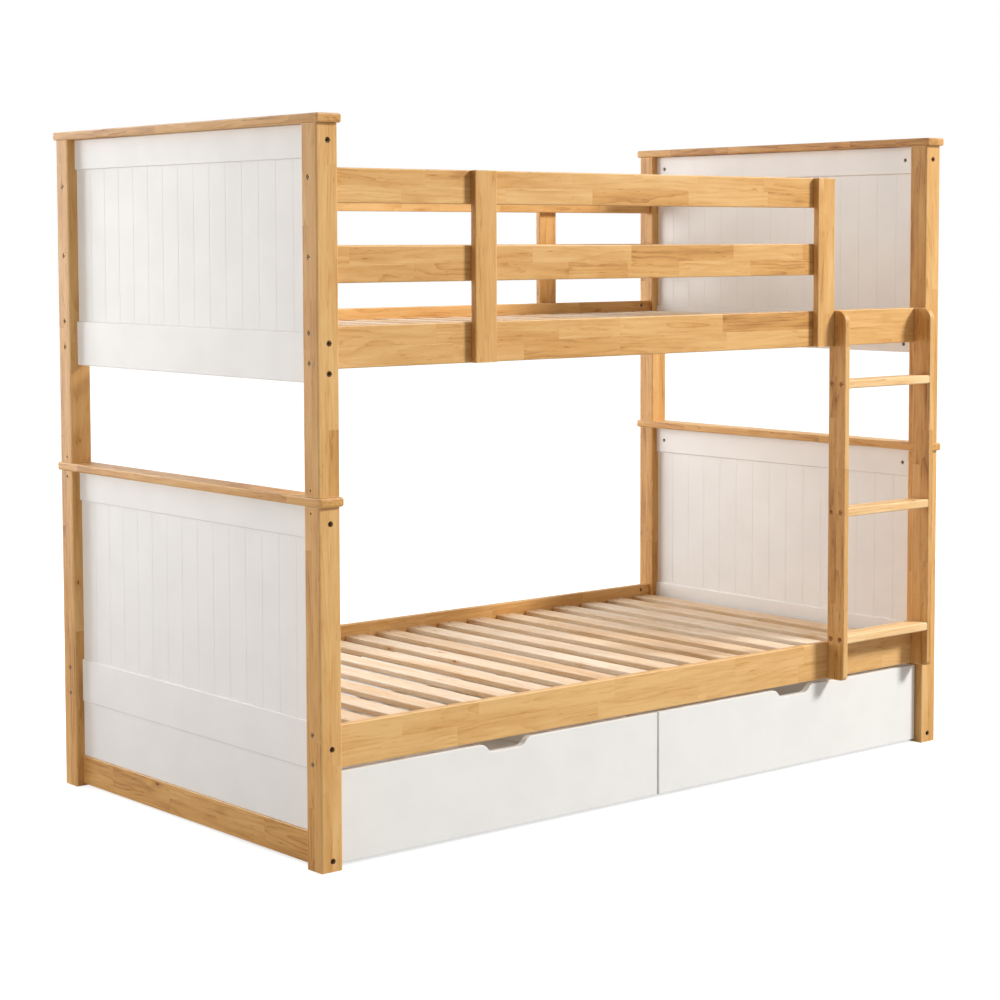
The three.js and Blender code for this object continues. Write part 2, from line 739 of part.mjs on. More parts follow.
// Z = 0 is the floor, Y = 0 is the front's outer face
function drawer(side, sx) {
  const backOfFront = drawerFrontThickness + joinGap;
  const sideMiddleY = backOfFront + boxDepth / 2;
  const boxMiddleZ = boxLift + boxHeight / 2;
  const rear = backOfFront + boxDepth;
  const sideX = (boxWidth - boxThickness) / 2;
  const backWidth = boxInside - 2 * joinGap;
  const bottomX = boxInside + 2 * (dadoDepth - dadoClearance);
  const bottomFront = drawerFrontThickness - dadoDepth + dadoClearance;
  const bottomRear = rear - boxThickness + dadoDepth - dadoClearance;
  const casters = [
    ['front_left', -1, backOfFront + casterInset],
    ['front_right', 1, backOfFront + casterInset],
    ['rear_left', -1, rear - casterInset],
    ['rear_right', 1, rear - casterInset],
  ].map(([place, direction, y]) => ({ place, x: direction * (boxInside / 2 - casterInset), y }));
  const panel = box(
    bottomX,
    bottomRear - bottomFront,
    bottomThickness,
    0,
    (bottomFront + bottomRear) / 2,
    bottomZ + bottomThickness / 2,
  );
  const brackets = casters.map(({ x, y }) => casterBracket().translate(x, y, plateTop));
  const boxSide = (inwardX) => boxWall(boxThickness, boxDepth, 'y', inwardX, 0);
  const members = [
    piece(
      `drawer_front_${side}`,
      drawerFront(),
      painted,
      0,
      drawerFrontThickness / 2,
      drawerFrontLift + drawerFrontHeight / 2,
    ),
    piece(`drawer_side_a_${side}`, boxSide(1), boxBoard, -sideX, sideMiddleY, boxMiddleZ),
    piece(`drawer_side_b_${side}`, boxSide(-1), boxBoard, sideX, sideMiddleY, boxMiddleZ),
    piece(
      `drawer_back_${side}`,
      boxWall(backWidth, boxThickness, 'x', 0, -1),
      boxBoard,
      0,
      rear - boxThickness / 2,
      boxMiddleZ,
    ),
    piece(`drawer_bottom_${side}`, join(panel, ...brackets), boxBoard),
    casters.map(({ place, x, y }) => piece(`wheel_${side}_${place}`, wheel(), wheelPlastic, x, y, axleZ)),
  ];
  const holder = group(...members);
  holder.position.set(sx * (middleGap + drawerWidth) / 2, -sideRailFaceY, 0);
  return holder;
}

// The bed

const ends = [['left', -1], ['right', 1]];
const corners = [['front_left', -1, -1], ['front_right', 1, -1], ['rear_left', -1, 1], ['rear_right', 1, 1]];

const lowerBunk = group(
  corners.map(([place, sx, sy]) => (
    piece(`lower_post_${place}`, lowerPost(sx, sy), natural, sx * postX, sy * postY, 0))),
  ends.map(([side, sx]) => lowerEnd(side, sx)),
  sideRailPiece('lower_side_rail_front', -1, lowerSideRailLift, lowerSideRailHeight, lowerSideBolts),
  sideRailPiece('lower_side_rail_rear', 1, lowerSideRailLift, lowerSideRailHeight, lowerSideBolts),
  slatDeck('lower_slat_deck', lowerSideRailTop),
);

const upperBunk = group(
  ends.map(([side, sx]) => (
    piece(`middle_cap_${side}`, cap(true), natural, sx * postX, 0, midCapBottom + capThickness / 2))),
  corners.map(([place, sx, sy]) => (
    piece(`upper_post_${place}`, upperPost(sx, sy), natural, sx * postX, sy * postY, upperPostBottom))),
  ends.map(([side, sx]) => upperEnd(side, sx)),
  ends.map(([side, sx]) => (
    piece(`top_cap_${side}`, cap(false), natural, sx * postX, 0, upperPostTop + joinGap + capThickness / 2))),
  sideRailPiece('upper_side_rail_front', -1, upperSideRailBottom, upperSideRailHeight, upperSideBolts),
  sideRailPiece('upper_side_rail_rear', 1, upperSideRailBottom, upperSideRailHeight, upperSideBolts),
  slatDeck('upper_slat_deck', upperSideRailTop),
  frontGuardRail('front_guard_middle_rail', guardMidBottom, guardMidRailHeight, guardMidBolts),
  frontGuardRail('front_guard_top_rail', guardTopBottom, guardTopRailHeight, guardTopBolts),
  stile('front_guard_stile_left', leftStileX, -1),
  stile('front_guard_stile_right', rightStileX, -1),
  sideRailPiece('rear_guard_middle_rail', 1, guardMidBottom, guardMidRailHeight, guardMidBolts),
  sideRailPiece('rear_guard_top_rail', 1, guardTopBottom, guardTopRailHeight, guardTopBolts),
  stile('rear_guard_stile', rightStileX, 1),
);

const bed = group(lowerBunk, upperBunk, ladder(), drawer('left', -1), drawer('right', 1));

// The origin is at the bottom centre of the whole box, which the ladder widens at the front and the caps
// at the rear
bed.position.y = (uprightFrontY - (halfDepth + capOverEnds)) / 2;

export default bed;
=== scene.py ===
# %% [markdown]
# # A bunk bed with two drawers, built in cells
#
# The bed is a wooden frame of two bunks stacked on pins. Its ends are white painted panels between
# natural posts, a ladder stands at the front, and two drawers roll out on casters. The CAD model
# already says where every piece is, so this lesson only has to make each piece look like the real
# one: rounded edges, laminated timber, bolts in their pockets, planks, slats and wheels.
#
# The first cell loads that model.

# %% Load the frame
import math
import random

import bmesh
import bpy
from mathutils import Matrix, Vector


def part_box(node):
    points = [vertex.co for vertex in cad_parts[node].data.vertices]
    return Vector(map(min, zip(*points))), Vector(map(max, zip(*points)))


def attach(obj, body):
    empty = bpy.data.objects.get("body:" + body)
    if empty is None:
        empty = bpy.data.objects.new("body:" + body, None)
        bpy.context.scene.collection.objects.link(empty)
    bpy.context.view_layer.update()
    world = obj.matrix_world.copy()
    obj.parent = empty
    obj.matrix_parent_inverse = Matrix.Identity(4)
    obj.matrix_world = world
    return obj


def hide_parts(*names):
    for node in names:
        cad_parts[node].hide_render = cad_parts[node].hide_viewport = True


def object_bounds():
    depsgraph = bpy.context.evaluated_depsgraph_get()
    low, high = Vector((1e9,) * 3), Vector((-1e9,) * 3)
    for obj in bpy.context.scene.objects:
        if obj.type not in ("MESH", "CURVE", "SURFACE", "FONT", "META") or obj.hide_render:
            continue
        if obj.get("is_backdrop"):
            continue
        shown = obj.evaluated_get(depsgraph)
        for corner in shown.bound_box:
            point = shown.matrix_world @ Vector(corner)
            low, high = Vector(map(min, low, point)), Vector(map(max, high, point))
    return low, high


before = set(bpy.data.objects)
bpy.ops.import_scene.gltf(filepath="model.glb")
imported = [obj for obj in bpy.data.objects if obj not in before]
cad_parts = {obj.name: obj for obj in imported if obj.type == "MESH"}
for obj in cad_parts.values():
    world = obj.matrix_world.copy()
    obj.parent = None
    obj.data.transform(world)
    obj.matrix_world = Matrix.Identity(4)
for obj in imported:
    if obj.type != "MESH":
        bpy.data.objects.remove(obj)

cad_low, cad_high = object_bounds()
scene = bpy.context.scene
print("CAD box", [round(v, 4) for v in (*cad_low, *cad_high)])

# %% [markdown]
# ## Colour values
#
# Blender's sockets take linear light, while a maker reads colours off a paint card as values from 0
# to 255. One helper turns the second into the first, so that every finish below can be written the
# way that it would be named on the card.

# %% Card colours to linear light


def card(red, green, blue):
    """A colour read as 0 to 255, as the linear RGBA that sockets take."""
    def linear(value):
        value /= 255
        return value / 12.92 if value <= 0.04045 else ((value + 0.055) / 1.055) ** 2.4
    return (linear(red), linear(green), linear(blue), 1.0)


def dim(colour, share):
    """The same colour with less light."""
    return tuple(share * v for v in colour[:3]) + (1.0,)


print("card(238, 198, 146) =", [round(v, 3) for v in card(238, 198, 146)])

# %% [markdown]
# ## Helpers for node trees
#
# A material is a tree of small nodes. Written out in full, each takes five lines of Python, so a few
# short helpers keep the recipes readable: `add` makes a node and fills its inputs, `calc` is the Math
# node, `plus` adds a share of one value to another, `remap` stretches one range to another, and `mix`
# blends two colours. A value may be a number or another node's output, and `feed` works out which.

# %% Helpers that add and link nodes


def feed(tree, socket, value):
    """Links an output to the socket, or writes a plain value on it."""
    if isinstance(value, bpy.types.NodeSocket):
        tree.links.new(value, socket)
    else:
        socket.default_value = value


def add(tree, kind, inputs=None, **settings):
    """One node: settings are its own properties, inputs go by name or number."""
    node = tree.nodes.new(kind)
    for key, value in settings.items():
        setattr(node, key, value)
    for key, value in (inputs or {}).items():
        feed(tree, node.inputs[key], value)
    node.location = (190 * len(tree.nodes), 0)
    return node


def calc(tree, operation, *values):
    return add(tree, "ShaderNodeMath", dict(enumerate(values)), operation=operation).outputs[0]


def plus(tree, value, times, start):
    """start + value * times, as one Math node."""
    return calc(tree, "MULTIPLY_ADD", value, times, start)


def vector_calc(tree, operation, *values):
    return add(tree, "ShaderNodeVectorMath", dict(enumerate(values)), operation=operation).outputs[0]


def length(tree, vector):
    return add(tree, "ShaderNodeVectorMath", {0: vector}, operation="LENGTH").outputs["Value"]


def separate(tree, vector):
    """The three values of a vector."""
    return add(tree, "ShaderNodeSeparateXYZ", {0: vector}).outputs


def combine(tree, x=0.0, y=0.0, z=0.0):
    """Three values as one vector."""
    return add(tree, "ShaderNodeCombineXYZ", {0: x, 1: y, 2: z}).outputs[0]


def remap(tree, value, low, high, to_low=0.0, to_high=1.0):
    """Smoothly carries low..high to to_low..to_high, and holds the ends."""
    levels = {"Value": value, "From Min": low, "From Max": high, "To Min": to_low, "To Max": to_high}
    return add(tree, "ShaderNodeMapRange", levels, interpolation_type="SMOOTHSTEP").outputs[0]


def noise(tree, place, scale, detail):
    """Soft chance values round 0.5."""
    inputs = {"Vector": place, "Scale": scale, "Detail": detail}
    return add(tree, "ShaderNodeTexNoise", inputs).outputs[0]


def mix(tree, factor, first, second):
    """Blends two colours. The Mix node keeps its colour sockets at 6 and 7, and the result at 2."""
    return add(tree, "ShaderNodeMix", {0: factor, 6: first, 7: second}, data_type="RGBA").outputs[2]


def second_smallest(tree, vector):
    """The middle one of a vector's three values."""
    a, b, c = separate(tree, vector)
    nearer, farther = calc(tree, "MINIMUM", a, b), calc(tree, "MAXIMUM", a, b)
    return calc(tree, "MAXIMUM", nearer, calc(tree, "MINIMUM", farther, c))


print("node helpers ready")

# %% [markdown]
# ## Groups and materials
#
# A group is a tree that other trees use as one node, with named sockets. It is built once, and each
# material sets it in with its own values. Every material here has one Principled shader. Whatever
# never changes over the surface goes straight on that shader's own sockets.

# %% Helpers for groups and materials


def new_group(name, inputs, outputs, kind="ShaderNodeTree"):
    """An empty group with named sockets, and its input and output nodes."""
    tree = bpy.data.node_groups.new(name, kind)
    for title, socket_type, value in inputs:
        socket = tree.interface.new_socket(title, in_out="INPUT", socket_type=socket_type)
        if value is not None:
            socket.default_value = value
    for title, socket_type in outputs:
        tree.interface.new_socket(title, in_out="OUTPUT", socket_type=socket_type)
    return tree, add(tree, "NodeGroupInput").outputs, add(tree, "NodeGroupOutput")


def place_group(tree, group, inputs):
    """Sets a finished group into a material's tree."""
    node = add(tree, "ShaderNodeGroup", node_tree=group)
    for key, value in inputs.items():
        feed(tree, node.inputs[key], value)
    return node.outputs


def attribute(tree, name):
    return add(tree, "ShaderNodeAttribute", attribute_name=name).outputs["Vector"]


def new_material(name, **plain):
    """A material with its tree and shader, and the values that never change."""
    material = bpy.data.materials.new(name)
    material.use_nodes = True
    tree = material.node_tree
    shader = tree.nodes["Principled BSDF"]
    for key, value in plain.items():
        shader.inputs[key.replace("_", " ")].default_value = value
    return material, tree, shader


def roughen(tree, shader, strength, distance, height):
    """Lets a height bend the light as a fine relief, so many metres deep."""
    relief = add(tree, "ShaderNodeBump", {"Strength": strength, "Distance": distance, "Height": height})
    feed(tree, shader.inputs["Normal"], relief.outputs[0])


print("group helpers ready")

# %% [markdown]
# ## The figure of laminated timber
#
# The bed's natural parts are rubberwood, glued up from short blocks. Each block comes from another
# plank, so tone and figure jump at every joint, and inside a block the growth rings show as lines and
# pointed arches. A painted texture could not follow a bar round its edges, so the figure is worked out
# in three dimensions instead: every block carries its own coordinates (`grain`: along, across and
# through the block, in metres) and three chance values (`block`: tone, place of the pith, and a seed).
#
# The rings are cylinders round the pith, the tree's middle. A pith that leans out of line with the
# block makes the pointed arches that joiners call cathedrals. Thin fibres, pores, flecks and slow
# clouds of colour go on top. `size` is half the block, and tells how near the glue line is. That line
# only shows away from the board's own edges, so `To Arris` brings the distance to the nearest one.
# `Sawn Side` darkens a board's narrow sides, which the saw left rough.

# %% Timber figure group


def timber_figure():
    inputs = [
        ("Grain", "NodeSocketVector", None),
        ("Block", "NodeSocketVector", None),
        ("Size", "NodeSocketVector", None),
        ("To Arris", "NodeSocketFloat", 0.01),
        ("Sawn Side", "NodeSocketFloat", 0.0),
        ("Ring", "NodeSocketFloat", 0.0085),
        ("Lean", "NodeSocketFloat", 0.14),
        ("Lines", "NodeSocketFloat", 0.31),
        ("Fibres", "NodeSocketFloat", 0.62),
        ("Clouds", "NodeSocketFloat", 0.9),
        ("Flecks", "NodeSocketFloat", 0.3),
        ("Pale", "NodeSocketColor", None),
        ("Middle", "NodeSocketColor", None),
        ("Deep", "NodeSocketColor", None),
    ]
    outputs = [
        ("Color", "NodeSocketColor"),
        ("Roughness", "NodeSocketFloat"),
        ("Height", "NodeSocketFloat"),
    ]
    tree, given, result = new_group("timber_figure", inputs, outputs)
    grain = given["Grain"]
    along, across, through = separate(tree, grain)
    tone, pith, chance = separate(tree, given["Block"])
    apart = {0: given["Block"], "Scale": 61.7}
    shift = add(tree, "ShaderNodeVectorMath", apart, operation="SCALE").outputs[0]

    def streaks(lengthwise, crosswise, detail=2.0, extra=(0, 0, 0)):
        """Noise that is drawn out along the grain, in features per metre, round zero."""
        spread = vector_calc(tree, "MULTIPLY", grain, (lengthwise, crosswise, crosswise))
        moved = vector_calc(tree, "ADD", vector_calc(tree, "ADD", spread, shift), extra)
        return calc(tree, "SUBTRACT", noise(tree, moved, 1.0, detail), 0.5)

    def fraction(value, times):
        return calc(tree, "FRACT", calc(tree, "MULTIPLY", value, times))

    # The distance from a pith that leans and wanders
    aside = calc(tree, "ADD", across, plus(tree, pith, 0.07, -0.035))
    aside = plus(tree, streaks(2.6, 15), 0.034, aside)
    lean = calc(tree, "MULTIPLY", calc(tree, "SUBTRACT", fraction(chance, 9.7), 0.5), given["Lean"])
    below = calc(tree, "ADD", through, plus(tree, fraction(chance, 5.3), 0.045, 0.012))
    below = plus(tree, lean, along, below)
    below = plus(tree, streaks(4, 11, extra=(7, 3, 5)), 0.02, below)
    radius = length(tree, combine(tree, aside, below))
    radius = plus(tree, streaks(8, 36, 3.0, (6, 6, 1)), 0.014, radius)

    # Each ring darkens slowly and ends sharply, and fades here and there
    phase = calc(tree, "FRACT", calc(tree, "DIVIDE", radius, given["Ring"]))
    fade = remap(tree, streaks(5, 28, extra=(2, 9, 4)), -0.16, 0.16, 0.2, 1.0)
    line = calc(tree, "MULTIPLY", calc(tree, "POWER", phase, 3.0), fade)

    # Fibres, clouds, pores and flecks, and now and then a small knot in its halo
    fibre = streaks(9, 105, 5.0, (5, 1, 8))
    cloud = streaks(3.2, 22, 4.0, (1, 6, 2))
    pore = remap(tree, streaks(70, 1500, 1.0, (3, 3, 9)), 0.13, 0.22)
    fleck = remap(tree, streaks(26, 230, 2.0, (9, 2, 6)), 0.12, 0.26)
    stretched = vector_calc(tree, "ADD", vector_calc(tree, "MULTIPLY", grain, (5.2, 13, 13)), shift)
    cells = add(tree, "ShaderNodeTexVoronoi", {"Vector": stretched, "Scale": 1.0})
    knot = remap(tree, cells.outputs["Distance"], 0.03, 0.055, 1.0, 0.0)
    halo = remap(tree, cells.outputs["Distance"], 0.04, 0.2, 0.22, 0.0)

    # The glue line and the sawn sides
    reach = vector_calc(tree, "SUBTRACT", given["Size"], vector_calc(tree, "ABSOLUTE", grain))
    joint = remap(tree, second_smallest(tree, reach), 0.0002, 0.0009, 1.0, 0.0)
    joint = calc(tree, "MULTIPLY", joint, remap(tree, given["To Arris"], 0.002, 0.004))
    side = remap(tree, separate(tree, reach)[1], 0.0004, 0.002, 1.0, 0.0)

    # How far from pale to deep, from 0 to 1
    dark = plus(tree, line, given["Lines"], tone)
    dark = plus(tree, fibre, given["Fibres"], dark)
    dark = plus(tree, cloud, given["Clouds"], dark)
    dark = plus(tree, fleck, given["Flecks"], dark)
    dark = plus(tree, pore, 0.1, dark)
    dark = calc(tree, "ADD", dark, calc(tree, "MAXIMUM", knot, halo))
    dark = plus(tree, side, given["Sawn Side"], dark)
    dark = plus(tree, joint, 0.07, dark)
    lower = add(tree, "ShaderNodeClamp", {0: calc(tree, "MULTIPLY", dark, 2.0)}).outputs[0]
    upper = add(tree, "ShaderNodeClamp", {0: plus(tree, dark, 2.0, -1.0)}).outputs[0]
    colour = mix(tree, upper, mix(tree, lower, given["Pale"], given["Middle"]), given["Deep"])
    feed(tree, result.inputs["Color"], colour)

    rough = plus(tree, line, 0.08, plus(tree, pore, 0.12, 0.42))
    feed(tree, result.inputs["Roughness"], rough)
    height = plus(tree, pore, -1.0, calc(tree, "MULTIPLY", fibre, 0.8))
    height = plus(tree, joint, -0.7, height)
    feed(tree, result.inputs["Height"], height)
    return tree


TIMBER_FIGURE = timber_figure()
print("timber figure:", len(TIMBER_FIGURE.nodes), "nodes")

# %% [markdown]
# ## Worn edges and painted highlights
#
# Lacquer and paint are thinnest where a board's flat faces turn into its rounded edges, because
# sanding goes deepest there. On the lacquered timbers the pale edge colour is also a painted highlight,
# for the light that rounded edges catch. Every board carries two more vectors: `seat`, the place on the
# whole board, and `half`, half its size. On a flat face one of the three distances to the outside is
# nought, and the second smallest is the distance to the nearest edge. That one number makes the mask,
# and it is put out as `To Arris` too, for the timber figure.

# %% Edge wear and highlight group


def edge_wear_and_highlight():
    inputs = [
        ("Seat", "NodeSocketVector", None),
        ("Half", "NodeSocketVector", None),
        ("Width", "NodeSocketFloat", 0.003),
        ("Breaks", "NodeSocketFloat", 60.0),
    ]
    outputs = [
        ("Mask", "NodeSocketFloat"),
        ("To Arris", "NodeSocketFloat"),
    ]
    tree, given, result = new_group("edge_wear_and_highlight", inputs, outputs)
    reach = vector_calc(tree, "SUBTRACT", given["Half"], vector_calc(tree, "ABSOLUTE", given["Seat"]))
    distance = second_smallest(tree, reach)
    feed(tree, result.inputs["To Arris"], distance)
    band = remap(tree, distance, 0.0, given["Width"], 1.0, 0.0)
    patches = remap(tree, noise(tree, given["Seat"], given["Breaks"], 3.0), 0.35, 0.65, 0.5, 1.0)
    feed(tree, result.inputs["Mask"], calc(tree, "MULTIPLY", band, patches))
    return tree


EDGE_WEAR_AND_HIGHLIGHT = edge_wear_and_highlight()


def worn_and_highlit_edges(tree, **values):
    """The edge wear and highlight group, reading the board's own vectors."""
    return place_group(tree, EDGE_WEAR_AND_HIGHLIGHT, {
        "Seat": attribute(tree, "seat"), "Half": attribute(tree, "half"), **values})


print("edge wear:", len(EDGE_WEAR_AND_HIGHLIGHT.nodes), "nodes")

# %% [markdown]
# ## The timber finishes
#
# Three timbers show. The frame is clear-lacquered rubberwood, honey coloured and satin, with some
# brown blocks. The ladder's rungs are paler sapwood of the same tree, under the same lacquer. The slats
# are bare pinkish softwood with straight fine grain. All three use one figure group with other values,
# which is what makes a group worth building.

# %% Lacquered rubberwood, sapwood and bare slat wood


def timber_material(name, figure, edge_colour, edge_share, relief, **plain):
    """A timber: figure holds its values for the figure group, relief its depth in metres; the pale edge is
    wear and painted highlight.
    """
    material, tree, shader = new_material(name, **plain)
    wear_and_highlight = worn_and_highlit_edges(tree)
    wood = place_group(tree, TIMBER_FIGURE, {
        "Grain": attribute(tree, "grain"),
        "Block": attribute(tree, "block"),
        "Size": attribute(tree, "size"),
        "To Arris": wear_and_highlight["To Arris"],
        **figure,
    })
    share = calc(tree, "MULTIPLY", wear_and_highlight["Mask"], edge_share)
    feed(tree, shader.inputs["Base Color"], mix(tree, share, wood["Color"], edge_colour))
    feed(tree, shader.inputs["Roughness"], wood["Roughness"])
    roughen(tree, shader, 0.5, relief, wood["Height"])
    return material


LACQUER = {"Coat_Weight": 0.08, "Coat_Roughness": 0.3, "Specular_IOR_Level": 0.2}
# The pale edge colours of the two lacquered timbers, at a share of 0.75, are partly worn lacquer and partly
# a painted highlight
RUBBERWOOD = timber_material(
    "lacquered_rubberwood",
    {"Pale": card(230, 186, 124), "Middle": card(209, 156, 90), "Deep": card(142, 86, 37)},
    card(250, 219, 168), 0.75, 0.0003, **LACQUER,
)
SAPWOOD = timber_material(
    "lacquered_sapwood",
    {"Pale": card(246, 213, 161), "Middle": card(231, 187, 130), "Deep": card(158, 103, 52)},
    card(252, 226, 178), 0.75, 0.0003, **LACQUER,
)
SLAT_WOOD = timber_material(
    "bare_slat_wood",
    {
        "Pale": card(239, 220, 195), "Middle": card(223, 184, 137), "Deep": card(178, 122, 66),
        "Sawn Side": 0.1, "Ring": 0.0042, "Lean": 0.04,
        "Lines": 0.3, "Fibres": 0.8, "Clouds": 0.7, "Flecks": 0.12,
    },
    card(248, 232, 206), 0.3, 0.0004, Specular_IOR_Level=0.3,
)
print("timbers:", RUBBERWOOD.name, SAPWOOD.name, SLAT_WOOD.name)

# %% [markdown]
# ## White paint, drawer board and plastic
#
# The panels are sprayed satin white, warm rather than blue. Sprayed paint isn't perfectly flat: it has
# a fine orange peel, and its gloss drifts a little. The drawer fronts have a slightly smoother foil,
# the drawer boxes are a thin off-white board, and the wheels are moulded in nearly black plastic. All
# four are an even coat over a smooth body, so one function makes them.

# %% Painted and moulded finishes


def coated_material(name, colour, edge_colour, edge_share, roughness, peel):
    """An even coat of paint, foil or plastic, with drifting gloss and a fine texture."""
    material, tree, shader = new_material(name)
    spot = add(tree, "ShaderNodeTexCoord").outputs["Object"]
    drift, fine = noise(tree, spot, 9.0, 3.0), noise(tree, spot, 620.0, 2.0)
    tinted = mix(tree, remap(tree, drift, 0.3, 0.7), colour, dim(colour, 0.965))
    share = calc(tree, "MULTIPLY", worn_and_highlit_edges(tree, Width=0.0022)["Mask"], edge_share)
    feed(tree, shader.inputs["Base Color"], mix(tree, share, tinted, edge_colour))
    feed(tree, shader.inputs["Roughness"], plus(tree, drift, 0.12, roughness - 0.06))
    roughen(tree, shader, 0.4, peel, fine)
    return material


WHITE_PAINT = coated_material(
    "satin_white_paint", card(241, 238, 235), card(233, 226, 216), 0.25, 0.42, 0.0002)
FRONT_FOIL = coated_material(
    "drawer_front_foil", card(241, 240, 236), card(232, 227, 219), 0.4, 0.38, 0.0001)
BOX_BOARD = coated_material(
    "drawer_box_board", card(222, 219, 214), card(198, 188, 174), 0.5, 0.5, 0.0001)
WHEEL_PLASTIC = coated_material(
    "wheel_plastic", card(46, 47, 49), card(70, 70, 72), 0.6, 0.5, 0.0003)
print("coats:", WHITE_PAINT.name, FRONT_FOIL.name, BOX_BOARD.name, WHEEL_PLASTIC.name)

# %% [markdown]
# ## Metals
#
# Nuts, screws and pins are zinc plated. The bolts of the side rails are yellow plated, those of the
# end rails blackened and those of the rungs bronzed, and the caster forks are pressed steel. Plating
# has a faint bloom of duller patches, and fine scratches that only show as a softer shine.

# %% Plated and pressed steel


def steel_material(name, colour, roughness):
    material, tree, shader = new_material(name, Metallic=1.0)
    spot = add(tree, "ShaderNodeTexCoord").outputs["Object"]
    bloom, scratch = noise(tree, spot, 160.0, 4.0), noise(tree, spot, 2400.0, 1.0)
    duller = mix(tree, remap(tree, bloom, 0.35, 0.7), colour, dim(colour, 0.6))
    feed(tree, shader.inputs["Base Color"], duller)
    feed(tree, shader.inputs["Roughness"], plus(tree, bloom, 0.25, roughness - 0.12))
    roughen(tree, shader, 0.3, 0.0001, scratch)
    return material


ZINC = steel_material("zinc_plated_steel", card(134, 124, 112), 0.4)
BRONZED = steel_material("bronzed_steel", card(176, 126, 84), 0.42)
PRESSED_STEEL = steel_material("pressed_steel", card(168, 168, 170), 0.45)
PLATED = steel_material("yellow_plated_steel", card(184, 160, 132), 0.45)
BLACKENED = steel_material("blackened_steel", card(112, 90, 70), 0.5)
print("finishes so far:", len(bpy.data.materials), "materials")

# %% [markdown]
# ## A bar with rounded edges
#
# Nearly everything here is a planed bar. A cube would show razor edges that no timber has, and light
# would never catch them. So the mesh starts as a cube between two corners, its four long edges get the
# radius of the joiner's router, and the edges at its ends are only broken with sandpaper.
#
# The functions work on a BMesh, Blender's editable mesh, because holes and joints come next. `plate`
# makes a flat outline solid, and `turned` makes what a lathe would.

# %% Make bars, plates and turned forms

SAME_LEVEL = 1e-7


def stretch(verts, low, high):
    """Moves the corners of a cube with side 1 out to a box."""
    for vert in verts:
        vert.co = Vector([a + (c + 0.5) * (b - a) for a, b, c in zip(low, high, vert.co)])


def bar(low, high, run, edge, end=0.0008, segments=4):
    """A closed bar between two corners that runs along axis 0, 1 or 2."""
    shape = bmesh.new()
    stretch(bmesh.ops.create_cube(shape, size=1)["verts"], low, high)

    def runs(item):
        step = item.verts[1].co - item.verts[0].co
        return abs(step[run]) > 0.5 * step.length

    long_edges = [e for e in shape.edges if runs(e)]
    bmesh.ops.bevel(shape, geom=long_edges, offset=edge, segments=segments, profile=0.5, affect="EDGES")
    rims = [e for e in shape.edges if not runs(e)]
    bmesh.ops.bevel(shape, geom=rims, offset=end, segments=2, profile=0.5, affect="EDGES")
    return shape


def plate(outline, axis, low, high, edge, segments=3):
    """A flat outline, given in the two other axes, made solid from low to high, with rounded rims."""
    shape = bmesh.new()

    def spot(a, b, level):
        place = [a, b]
        place.insert(axis, level)
        return shape.verts.new(place)

    base = shape.faces.new([spot(a, b, low) for a, b in outline])
    grown = bmesh.ops.extrude_face_region(shape, geom=[base])["geom"]
    for vert in [g for g in grown if isinstance(g, bmesh.types.BMVert)]:
        vert.co[axis] = high
    bmesh.ops.recalc_face_normals(shape, faces=shape.faces)
    rims = [e for e in shape.edges if abs(e.verts[0].co[axis] - e.verts[1].co[axis]) < SAME_LEVEL]
    bmesh.ops.bevel(shape, geom=rims, offset=edge, segments=segments, profile=0.5, affect="EDGES")
    return shape


def arc(centre_a, centre_b, radius, start, stop, steps):
    """Points along part of a circle, in degrees."""
    angles = [math.radians(start + (stop - start) * i / steps) for i in range(steps + 1)]
    return [(centre_a + radius * math.cos(t), centre_b + radius * math.sin(t)) for t in angles]


def turned(shape, profile, origin, axis, sides=24, ring=False):
    """Adds a turned form: (radius, distance along the axis) for each step of its profile."""
    turn = Vector((0, 0, 1)).rotation_difference(Vector(axis))
    angles = [2 * math.pi * i / sides for i in range(sides)]
    loops = []
    for radius, along in profile:
        spots = [Vector((radius * math.cos(t), radius * math.sin(t), along)) for t in angles]
        loops.append([shape.verts.new(Vector(origin) + turn @ s) for s in spots])
    pairs = list(zip(loops, loops[1:])) + ([(loops[-1], loops[0])] if ring else [])
    faces = [
        shape.faces.new((first[i], first[(i + 1) % sides], second[(i + 1) % sides], second[i]))
        for first, second in pairs for i in range(sides)]
    if not ring:
        faces += [shape.faces.new(loops[0][::-1]), shape.faces.new(loops[-1])]
    bmesh.ops.recalc_face_normals(shape, faces=faces)
    return shape


sample = bar((0, 0, 0), (1, 0.1, 0.02), 0, 0.003)
print("a bar has", len(sample.faces), "faces and", round(sample.calc_volume(), 6), "cubic metres")
sample.free()

# %% [markdown]
# ## Cutting holes
#
# Bolt pockets, cross holes for the nuts, grooves and housings are all taken out of a finished bar. The
# exact Boolean modifier does this as a drill would, and leaves clean rims. All cutters of one board are
# gathered in one mesh first, so each board is cut only once. A drilled hole gets a narrow chamfer at its
# mouth, as a countersink leaves it. Every cutter starts a little outside the wood, so no skin is left.

# %% Drill and carve

CLEAR = 0.002


def settled(item):
    """The mesh that an object's modifiers make. The object itself is removed."""
    graph = bpy.context.evaluated_depsgraph_get()
    mesh = bpy.data.meshes.new_from_object(item.evaluated_get(graph), depsgraph=graph)
    raw = item.data
    bpy.data.objects.remove(item)
    if raw.users == 0:
        bpy.data.meshes.remove(raw)
    return mesh


def poured(name, shape):
    """A BMesh written into a new mesh. The BMesh itself is freed."""
    mesh = bpy.data.meshes.new(name)
    shape.to_mesh(mesh)
    shape.free()
    return mesh


def stand(name, mesh):
    """A new object in the scene with this mesh."""
    item = bpy.data.objects.new(name, mesh)
    scene.collection.objects.link(item)
    return item


def drill(cutter, mouth, inward, radius, depth, chamfer=0.0006):
    profile = [(radius + chamfer, -CLEAR), (radius + chamfer, 0), (radius, chamfer), (radius, depth)]
    turned(cutter, profile, mouth, inward)


def rout(cutter, low, high):
    """Adds a square groove or housing to the cutter."""
    stretch(bmesh.ops.create_cube(cutter, size=1)["verts"], low, high)


